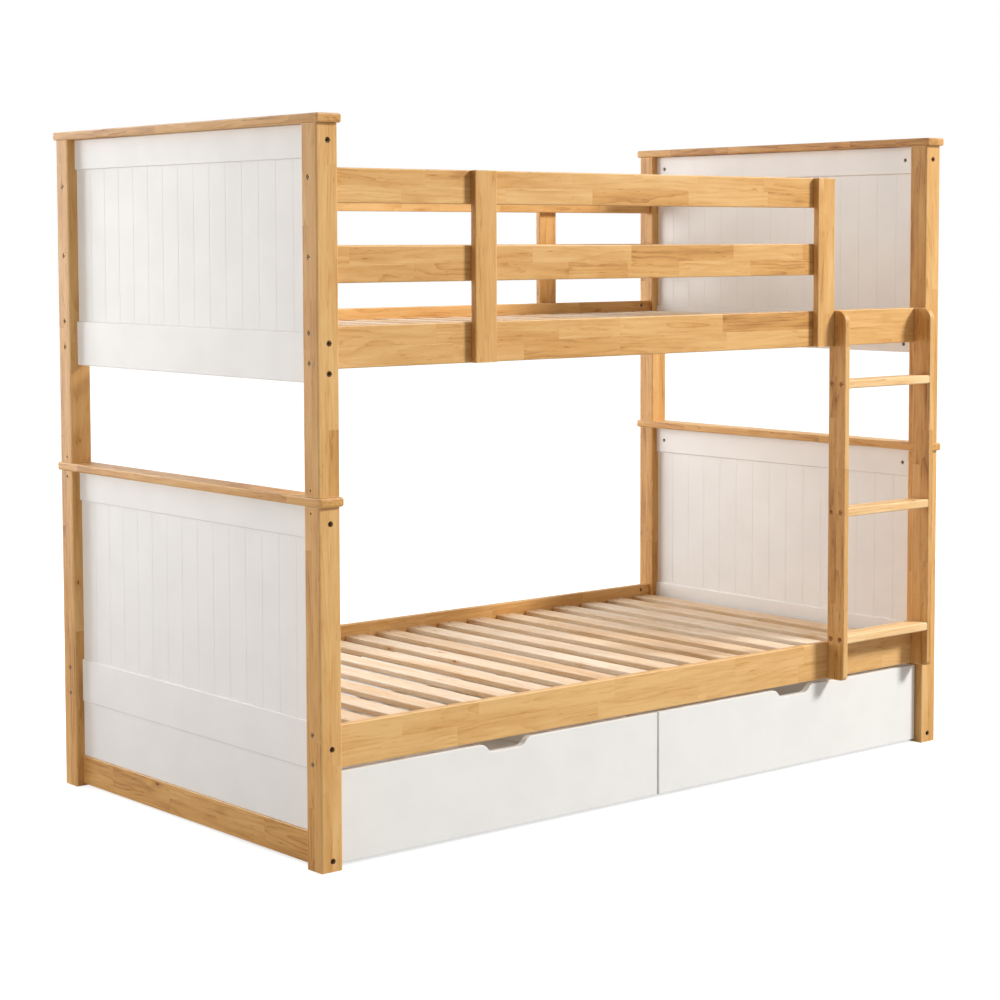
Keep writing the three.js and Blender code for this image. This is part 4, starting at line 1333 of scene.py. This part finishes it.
def ladder_upright(side, outward, seed):
    node = f"ladder_upright_{side}"
    low, high = place_of(node)
    outline = [(high.y, low.z), (high.y, high.z)]
    outline += arc(low.y + HEAD_RADIUS, high.z - HEAD_RADIUS, HEAD_RADIUS, 90, 180, 12)
    outline += arc(low.y + FOOT_RADIUS, low.z + FOOT_RADIUS, FOOT_RADIUS, 180, 270, 8)
    outer_x = high.x if outward > 0 else low.x
    play = Vector((JOIN_GAP,) * 3)
    cutter = bmesh.new()
    for rung in RUNGS:
        rung_low, rung_high = place_of(rung)
        rout(cutter, rung_low - play, rung_high + play)
        y, z = (rung_low.y + rung_high.y) / 2, (rung_low.z + rung_high.z) / 2
        for step in (-RUNG_BOLT_STEP, RUNG_BOLT_STEP):
            pocket(cutter, "rung", (outer_x, y + step, z), (-outward, 0, 0))
    shape = carve(plate(outline, 0, low.x, high.x, UPRIGHT_EDGE), cutter)
    natural_piece(node + "_timber", shape, low, high, 2, (2, 1), UPRIGHT_BLOCK, seed, node)


ladder_upright("left", -1, 81)
ladder_upright("right", 1, 82)
for number, node in enumerate(RUNGS):
    low, high = place_of(node)
    natural_piece(node + "_timber", bar(low, high, 0, RUNG_EDGE), low, high, 0, (2, 1), RUNG_BLOCK,
                  91 + number, node, wood=SAPWOOD)
print("ladder made, total", len(made_pieces))

# %% [markdown]
# ## The drawers
#
# A drawer front is one painted board with a finger notch in its top edge. Its box is four thin walls and
# a bottom that slides in grooves. The notch is cut with sloping sides and soft corners, drawn here as
# an outline with short curves and made solid with rounded rims.

# %% Make the drawer fronts

NOTCH_WIDTH, NOTCH_FLOOR, NOTCH_DEPTH, NOTCH_ROUND = 0.13, 0.096, 0.02, 0.0118
FRONT_EDGE, DADO_DEPTH, DADO_PLAY = 0.0015, 0.005, 0.0005
BOTTOM_LOW, BOTTOM_THICKNESS = 0.046, 0.009
SLOT_LOW, SLOT_HIGH = BOTTOM_LOW - DADO_PLAY, BOTTOM_LOW + BOTTOM_THICKNESS + DADO_PLAY


def soft_corner(before, corner, after, radius, steps=6):
    """Points of a quadratic curve that rounds one corner of an outline."""
    before, corner, after = Vector(before), Vector(corner), Vector(after)
    start = corner + (before - corner).normalized() * radius
    stop = corner + (after - corner).normalized() * radius
    shares = [i / steps for i in range(steps + 1)]
    return [tuple((1 - t) ** 2 * start + 2 * t * (1 - t) * corner + t * t * stop) for t in shares]


def drawer_front(side):
    node = f"drawer_front_{side}"
    low, high = place_of(node)
    middle = (low.x + high.x) / 2
    wide, narrow, floor = NOTCH_WIDTH / 2, NOTCH_FLOOR / 2, high.z - NOTCH_DEPTH
    path = [(high.x, high.z), (middle + wide, high.z), (middle + narrow, floor),
            (middle - narrow, floor), (middle - wide, high.z), (low.x, high.z)]
    outline = [(low.x, low.z), (high.x, low.z), (high.x, high.z)]
    for before, corner, after in zip(path, path[1:], path[2:]):
        outline += soft_corner(before, corner, after, NOTCH_ROUND)
    outline.append((low.x, high.z))
    cutter = bmesh.new()
    slot_from = place_of(f"drawer_side_a_{side}")[1].x - DADO_DEPTH
    slot_to = place_of(f"drawer_side_b_{side}")[0].x + DADO_DEPTH
    rout(cutter, (slot_from, high.y - DADO_DEPTH, SLOT_LOW), (slot_to, high.y + CLEAR, SLOT_HIGH))
    shape = carve(plate(outline, 1, low.y, high.y, FRONT_EDGE), cutter)
    settle(node + "_faced", shape, FRONT_FOIL, "white_paint", f"drawer_{side}", node)


print("a notch", NOTCH_WIDTH * 1000, "mm wide above and", NOTCH_FLOOR * 1000, "mm at its floor")

# %% Make the drawer boxes

BOX_EDGE, BOTTOM_EDGE, BOTTOM_END = 0.002, 0.0006, 0.0005
FRONT_SCREW_INSET, BACK_SCREW_INSET = 0.009, 0.006
BOX_SCREW_HEIGHTS = (0.03, 0.075, 0.12)
box_screws = {"left": [], "right": []}


def box_piece(node, shape, side):
    settle(node + "_board", shape, BOX_BOARD, "box_board", f"drawer_{side}", node)


def box_side(node, inward, side):
    """A side wall with its groove, and the places of the screws that hold its ends."""
    low, high = place_of(node)
    inner, outer = (high.x, low.x) if inward > 0 else (low.x, high.x)
    cutter = bmesh.new()
    rout(cutter, (inner - DADO_DEPTH, low.y - CLEAR, SLOT_LOW),
         (inner + DADO_DEPTH, high.y + CLEAR, SLOT_HIGH))
    box_piece(node, carve(bar(low, high, 1, BOX_EDGE), cutter), side)
    for y in (low.y + FRONT_SCREW_INSET, high.y - BACK_SCREW_INSET):
        for rise in BOX_SCREW_HEIGHTS:
            spot = Vector((outer - inward * PROUD, y, low.z + rise))
            box_screws[side].append((spot, Vector((-inward, 0, 0))))


def box_back(node, side):
    low, high = place_of(node)
    cutter = bmesh.new()
    rout(cutter, (low.x - CLEAR, low.y - DADO_DEPTH, SLOT_LOW),
         (high.x + CLEAR, low.y + DADO_DEPTH, SLOT_HIGH))
    box_piece(node, carve(bar(low, high, 0, BOX_EDGE), cutter), side)


def box_bottom(node, side):
    low, high = place_of(node)
    low.z, high.z = BOTTOM_LOW, BOTTOM_LOW + BOTTOM_THICKNESS
    box_piece(node, bar(low, high, 0, BOTTOM_EDGE, end=BOTTOM_END, segments=2), side)


for side in ("left", "right"):
    drawer_front(side)
    box_side(f"drawer_side_a_{side}", 1, side)
    box_side(f"drawer_side_b_{side}", -1, side)
    box_back(f"drawer_back_{side}", side)
    box_bottom(f"drawer_bottom_{side}", side)
print("drawers made, total", len(made_pieces))

# %% [markdown]
# ## Casters
#
# Each drawer rolls on four casters: a pressed steel fork screwed under the bottom, an axle with riveted
# heads, and a plastic wheel. The forks belong to the drawer's body, and each wheel is a body of its own
# that turns. Ribs between hub and rim make the wheel stiff with little plastic, and they show that it
# turns. The ribs repeat round the hub, so Geometry Nodes place them on a turned wheel.

# %% The forks

WHEELS = {
    side: [f"wheel_{side}_{end}_{hand}" for end in ("front", "rear") for hand in ("left", "right")]
    for side in ("left", "right")}
WHEEL_WIDTH, AXLE_RADIUS, EYE_RADIUS = 0.015, 0.003, 0.0075
FORK_GAP, FORK_THICKNESS, FORK_WIDTH, FORK_EDGE, FORK_LAP = 0.0006, 0.0025, 0.034, 0.0004, 0.001
PLATE_X, PLATE_Y, PLATE_ROUND = 0.013, 0.019, 0.006
PLATE_SCREW_X, PLATE_SCREW_Y = 0.0135, 0.0195
RIVET = [(0.0048, 0), (0.0048, 0.0008), (0.0036, 0.0016), (0.001, 0.0018)]
plate_screws = {"left": [], "right": []}


def merge(target, source):
    """Pours one BMesh into another."""
    mesh = poured("pour", source)
    target.from_mesh(mesh)
    bpy.data.meshes.remove(mesh)


def fork(target, centre, side):
    """A plate under the drawer, two cheeks, the axle and its rivets."""
    top = BOTTOM_LOW
    outline = []
    for a, b, start in ((1, 1, 0), (-1, 1, 90), (-1, -1, 180), (1, -1, 270)):
        outline += arc(centre.x + a * PLATE_X, centre.y + b * PLATE_Y, PLATE_ROUND, start, start + 90, 5)
    merge(target, plate(outline, 2, top - FORK_THICKNESS, top, FORK_EDGE, 2))
    lean = math.degrees(math.atan2(FORK_WIDTH / 2 - EYE_RADIUS, top - centre.z))
    for hand in (-1, 1):
        inner = centre.x + hand * (WHEEL_WIDTH / 2 + FORK_GAP)
        outer = inner + hand * FORK_THICKNESS
        cheek = [(centre.y + FORK_WIDTH / 2, top - FORK_LAP), (centre.y - FORK_WIDTH / 2, top - FORK_LAP)]
        cheek += arc(centre.y, centre.z, EYE_RADIUS, 180 + lean, 360 - lean, 10)
        merge(target, plate(cheek, 0, min(inner, outer), max(inner, outer), FORK_EDGE, 2))
        turned(target, RIVET, (outer, centre.y, centre.z), (hand, 0, 0), 16)
        for y in (-PLATE_SCREW_Y, PLATE_SCREW_Y):
            spot = Vector((centre.x + hand * PLATE_SCREW_X, centre.y + y, top - FORK_THICKNESS))
            plate_screws[side].append((spot, Vector((0, 0, -1))))
    reach = WHEEL_WIDTH / 2 + FORK_GAP + FORK_THICKNESS / 2
    turned(target, [(AXLE_RADIUS, -reach), (AXLE_RADIUS, reach)], centre, (1, 0, 0), 16)


for side in ("left", "right"):
    forks = bmesh.new()
    for node in WHEELS[side]:
        low, high = place_of(node)
        fork(forks, (low + high) / 2, side)
    settle(f"caster_forks_{side}", forks, PRESSED_STEEL, "box_board",
           f"drawer_{side}", f"drawer_bottom_{side}")
print("forks made:", [p.name for p in made_pieces[-2:]])

# %% The wheels

w, web = WHEEL_WIDTH / 2, 0.0025
OUTER_HALF = [
    (0.0034, w - 0.0005), (0.0039, w), (0.0066, w), (0.007, w - 0.0004), (0.008, web), (0.0125, web),
    (0.0135, w - 0.0004), (0.0139, w), (0.0155, w), (0.0172, w - 0.0008), (0.0178, w - 0.0025),
    (0.018, w - 0.0045)]
WHEEL_PROFILE = [(radius, -along) for radius, along in OUTER_HALF] + OUTER_HALF[::-1]


def rib_tree():
    tree, given, result = new_tree("wheel_ribs", [
        ("Geometry", GEOMETRY, None), ("Count", INTEGER, 6), ("Middle", FLOAT, 0.0105),
        ("Length", FLOAT, 0.006), ("Thickness", FLOAT, 0.0014), ("Width", FLOAT, 0.012),
        ("Centre", VECTOR, None), ("Finish", MATERIAL, None)])
    ring = make(tree, "MeshCircle", {"Vertices": given["Count"], "Radius": given["Middle"]})
    size = combine(tree, given["Length"], given["Thickness"], given["Width"])
    rib = make(tree, "MeshCube", {"Size": size})
    outward = {"Vector": make(tree, "InputPosition", {})}
    turn = add(tree, "FunctionNodeAlignRotationToVector", outward, axis="X").outputs[0]
    ribs = make(tree, "InstanceOnPoints", {"Points": ring, "Instance": rib, "Rotation": turn})
    wheel = join(tree, given["Geometry"], ribs)
    on_axle = {"Geometry": wheel, "Translation": given["Centre"], "Rotation": (0, math.pi / 2, 0)}
    finish_tree(tree, result, make(tree, "Transform", on_axle), given["Finish"])
    return tree


WHEEL_RIBS = rib_tree()
for node in WHEELS["left"] + WHEELS["right"]:
    low, high = place_of(node)
    blank = poured(node, turned(bmesh.new(), WHEEL_PROFILE, (0, 0, 0), (0, 0, 1), 40, ring=True))
    values = {"Centre": tuple((low + high) / 2), "Finish": WHEEL_PLASTIC}
    mesh = grow(node + "_moulded", WHEEL_RIBS, values, blank)
    settle(node + "_moulded", mesh, None, "wheel_plastic", node, node)
print("wheels made, total", len(made_pieces))

# %% [markdown]
# ## Bolts, nuts and screws
#
# The steel is small but it is what makes the joints believable. Bolts have a hexagon socket, barrel
# nuts a slot, and wood screws a cross. Each of the three is one tree: the head is a cylinder with its
# recess cut out, and it is copied to every noted spot, turned to face outwards along the `facing`
# vector stored there.

# %% Fastener trees


def fastener_tree(name, recess):
    """recess is hexagon, slot or cross."""
    tree, given, result = new_tree(name, [
        ("Geometry", GEOMETRY, None), ("Radius", FLOAT, 0.0046), ("Length", FLOAT, 0.008),
        ("Recess", FLOAT, 0.0024), ("Depth", FLOAT, 0.0025), ("Finish", MATERIAL, None)])
    sizes = {"Vertices": 20, "Radius": given["Radius"], "Depth": given["Length"]}
    down = combine(tree, 0.0, 0.0, calc(tree, "MULTIPLY", given["Length"], -0.5))
    body = make(tree, "Transform", {"Geometry": make(tree, "MeshCylinder", sizes), "Translation": down})
    deep = calc(tree, "MULTIPLY", given["Depth"], 2.0)
    wide = calc(tree, "MULTIPLY", given["Recess"], 2.0)
    narrow = calc(tree, "MULTIPLY", given["Recess"], 0.45)
    if recess == "hexagon":
        tools = [make(tree, "MeshCylinder", {"Vertices": 6, "Radius": given["Recess"], "Depth": deep})]
    else:
        tools = [make(tree, "MeshCube", {"Size": combine(tree, wide, narrow, deep)})]
    if recess == "cross":
        tools.append(make(tree, "MeshCube", {"Size": combine(tree, narrow, wide, deep)}))
    head = add(tree, "GeometryNodeMeshBoolean", {"Mesh 1": body}, operation="DIFFERENCE", solver="EXACT")
    for tool in tools:
        tree.links.new(tool, head.inputs["Mesh 2"])
    facing = make(tree, "InputNamedAttribute", {"Name": "facing"}, data_type="FLOAT_VECTOR")
    turn = add(tree, "FunctionNodeAlignRotationToVector", {"Vector": facing}, axis="Z").outputs[0]
    heads = make(tree, "InstanceOnPoints", {
        "Points": given["Geometry"], "Instance": head.outputs[0], "Rotation": turn})
    finish_tree(tree, result, heads, given["Finish"])
    return tree


HEAD_TREES = {kind: fastener_tree(f"{kind}_head", kind) for kind in ("hexagon", "slot", "cross")}
print("head trees:", list(HEAD_TREES))

# %% Set the heads on their spots


def fasteners(name, recess, spots, radius, long, size, depth,
              finish=ZINC, slot="natural_wood", body="bed"):
    """One mesh with a head on every spot; each spot is a place and an outward direction."""
    points = bpy.data.meshes.new(name)
    points.from_pydata([tuple(place) for place, _ in spots], [], [])
    facing = points.attributes.new("facing", "FLOAT_VECTOR", "POINT")
    facing.data.foreach_set("vector", [c for _, outward in spots for c in outward])
    mesh = grow(name, HEAD_TREES[recess], {
        "Radius": radius, "Length": long, "Recess": size, "Depth": depth, "Finish": finish}, points)
    heads = settle(name, mesh, None, slot, body)
    print(name, len(spots), "heads,", len(heads.data.polygons), "faces")


fasteners("side_bolt_heads", "hexagon", hardware_spots["bolt"],
          radius=0.0054, long=0.005, size=0.0026, depth=0.003, finish=PLATED)
fasteners("end_bolt_heads", "hexagon", hardware_spots["end_bolt"],
          radius=0.0061, long=0.006, size=0.0034, depth=0.005, finish=BLACKENED)
fasteners("rail_barrel_nuts", "slot", hardware_spots["nut"],
          radius=0.0047, long=0.009, size=0.0042, depth=0.0012)
fasteners("pin_lock_screws", "hexagon", hardware_spots["lock"],
          radius=0.0024, long=0.006, size=0.0013, depth=0.002)
fasteners("rung_bolt_heads", "hexagon", hardware_spots["rung"],
          radius=0.0062, long=0.004, size=0.0028, depth=0.0022, finish=BRONZED)
fasteners("slat_screws", "cross", slat_screws,
          radius=0.0036, long=0.003, size=0.0022, depth=0.0012, slot="slat_wood")
for side in ("left", "right"):
    on_drawer = {"slot": "box_board", "body": f"drawer_{side}"}
    fasteners(f"drawer_box_screws_{side}", "cross", box_screws[side],
              radius=0.0034, long=0.003, size=0.0021, depth=0.0012, **on_drawer)
    fasteners(f"caster_screws_{side}", "cross", plate_screws[side],
              radius=0.0026, long=0.002, size=0.0016, depth=0.0008, **on_drawer)

# %% [markdown]
# ## Floor, light and camera
#
# The real picture is a product picture on pure white. One lamp at the right front, high and far off,
# does most of the work, and soft light from all round fills the rest. A floor that is truly lit would
# go grey away from the lamp, so the floor adds a little white of its own to what the camera sees, and
# still keeps the bed's shadow.
#
# Under and just behind the bed the floor adds much less, which paints a soft shadow patch there: the gaps
# between the slats look down on it and have to stay dark. The world is white for the camera and for
# reflections, and a plain, slightly warm level for lighting.

# %% Floor

FLOOR_REACH, FLOOR_DROP = 40.0, 0.0006
FLOOR_COLOUR = (0.46, 0.455, 0.45, 1.0)
NEAR, FAR, OVAL = 0.7, 1.8, (0.6, 0.8, 0)
NEAR_GLOW, FAR_GLOW, GLOW_UNDER_BED = 0.78, 0.95, 0.3
BEHIND, SOFT, ASLANT = 0.6, 0.45, 0.35


def floor_glow(tree, spot):
    """How white the floor is of its own: more of it far away, and little under the bed, where it paints a
    shadow patch.
    """
    away = length(tree, vector_calc(tree, "MULTIPLY", spot, OVAL))
    by_distance = remap(tree, away, NEAR, FAR, NEAR_GLOW, FAR_GLOW)
    _, back, _ = separate(tree, spot)
    middle = combine(tree, calc(tree, "MULTIPLY", back, ASLANT), BEHIND)
    moved = vector_calc(tree, "ABSOLUTE", vector_calc(tree, "SUBTRACT", spot, middle))
    core = (cad_high[0] - SOFT, cad_high[1] + BEHIND - SOFT, 0)
    past = vector_calc(tree, "MAXIMUM", vector_calc(tree, "SUBTRACT", moved, core), (0, 0, 0))
    # Painted shadow: the floor's own white fades to GLOW_UNDER_BED under and behind the bed
    clear_of_bed = remap(tree, length(tree, past), 0.05, SOFT - 0.03, GLOW_UNDER_BED, 1.0)
    return calc(tree, "MULTIPLY", by_distance, clear_of_bed)


def stage_floor():
    mesh = bpy.data.meshes.new("studio_floor")
    turns = ((-1, -1), (1, -1), (1, 1), (-1, 1))
    corners = [(a * FLOOR_REACH, b * FLOOR_REACH, -FLOOR_DROP) for a, b in turns]
    mesh.from_pydata(corners, [], [(0, 1, 2, 3)])
    item = stand("studio_floor", mesh)
    material, tree, shader = new_material(
        "studio_floor", Roughness=0.9, Specular_IOR_Level=0.0, Base_Color=FLOOR_COLOUR)
    glow = add(tree, "ShaderNodeEmission", {"Color": (1, 1, 1, 1)})
    seen = add(tree, "ShaderNodeLightPath").outputs["Is Camera Ray"]
    level = floor_glow(tree, add(tree, "ShaderNodeTexCoord").outputs["Object"])
    feed(tree, glow.inputs["Strength"], calc(tree, "MULTIPLY", seen, level))
    both = add(tree, "ShaderNodeAddShader", {0: shader.outputs[0], 1: glow.outputs[0]})
    feed(tree, tree.nodes["Material Output"].inputs["Surface"], both.outputs[0])
    mesh.materials.append(material)
    item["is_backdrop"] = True


stage_floor()
print("floor staged")

# %% World

AMBIENT = 0.37
WARM, WHITE = (1.0, 0.972, 0.935, 1.0), (1.0, 1.0, 1.0, 1.0)


def studio_world():
    world = bpy.data.worlds.new("studio")
    world.use_nodes = True
    tree = world.node_tree
    path = add(tree, "ShaderNodeLightPath").outputs
    seen = calc(tree, "MAXIMUM", path["Is Camera Ray"], path["Is Glossy Ray"])
    seen = calc(tree, "MAXIMUM", seen, path["Is Transmission Ray"])
    background = tree.nodes["Background"]
    feed(tree, background.inputs["Color"], mix(tree, seen, WARM, WHITE))
    feed(tree, background.inputs["Strength"], plus(tree, seen, 1.0 - AMBIENT, AMBIENT))
    scene.world = world


studio_world()
scene.view_settings.view_transform = "Standard"
print("world ready, ambient level", AMBIENT)

# %% [markdown]
# ## Lamps
#
# The key lamp stands so far off that it is large and soft enough for gentle shadow edges and still
# lights both bunks alike. A small warm lamp at the left keeps the white end from going grey, and a
# very large, slightly cool one behind reaches the inner side of the right end, without bands of
# shadow from the guard rails.

# %% Set up the lamps


def lamp(name, place, target, power, size, colour=(1, 1, 1)):
    data = bpy.data.lights.new(name, "AREA")
    data.energy, data.size, data.color = power, size, colour
    item = stand(name, data)
    item.location = place
    item.rotation_euler = (Vector(target) - Vector(place)).to_track_quat("-Z", "Y").to_euler()


lamp("key", (6.2, -6.8, 6.4), (0.0, 0.0, 0.8), 1130.0, 2.0)
lamp("left_fill", (-4.2, 0.3, 0.85), (0.0, 0.3, 0.5), 27.0, 0.9, (1.0, 0.95, 0.89))
lamp("rear_fill", (-1.2, 4.0, 2.0), (0.0, 0.0, 0.8), 238.0, 4.0, (0.94, 0.97, 1.0))

# %% [markdown]
# ## Camera
#
# The camera stands off the near left corner, a little lower than the bed's top, with a long lens. Its
# place and turn were solved from the bed's own edges in the real picture. Part of the look down comes
# from a shifted lens instead of a tilt, which keeps the posts more nearly parallel.

# %% Set up the camera

LENS, SENSOR, SHIFT = 82.381, 36.0, -0.1
CAMERA_PLACE = (-3.7937, -4.4427, 1.3417)
HEADING, RISE, ROLL = 40.0099, -3.9597, -0.1633


def aim(heading, rise, roll):
    """A camera's turn from its heading, rise and roll in degrees; a heading of 0 looks along +Y."""
    heading, rise, roll = (math.radians(v) for v in (heading, rise, roll))
    level = math.cos(rise)
    ahead = Vector((math.sin(heading) * level, math.cos(heading) * level, math.sin(rise)))
    right = Vector((math.cos(heading), -math.sin(heading), 0))
    up = right.cross(ahead)
    tilted_right = right * math.cos(roll) + up * math.sin(roll)
    tilted_up = up * math.cos(roll) - right * math.sin(roll)
    return Matrix((tilted_right, tilted_up, -ahead)).transposed().to_4x4()


camera_data = bpy.data.cameras.new("camera")
camera_data.lens, camera_data.sensor_width, camera_data.shift_y = LENS, SENSOR, SHIFT
camera = stand("camera", camera_data)
camera.matrix_world = Matrix.Translation(CAMERA_PLACE) @ aim(HEADING, RISE, ROLL)
scene.camera = camera
print("camera at", [round(v, 3) for v in camera.location])

# %% [markdown]
# ## Sizes
#
# The CAD model's box was printed when it was loaded, and the visual model's box is printed here. The
# visual model may not be bigger than the CAD model.

# %% Sizes and finish
low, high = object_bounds()
faces = sum(len(p.data.polygons) for p in made_pieces)
print("pieces", len(made_pieces), "faces", faces)
print("visual box", [round(v, 4) for v in (*low, *high)])
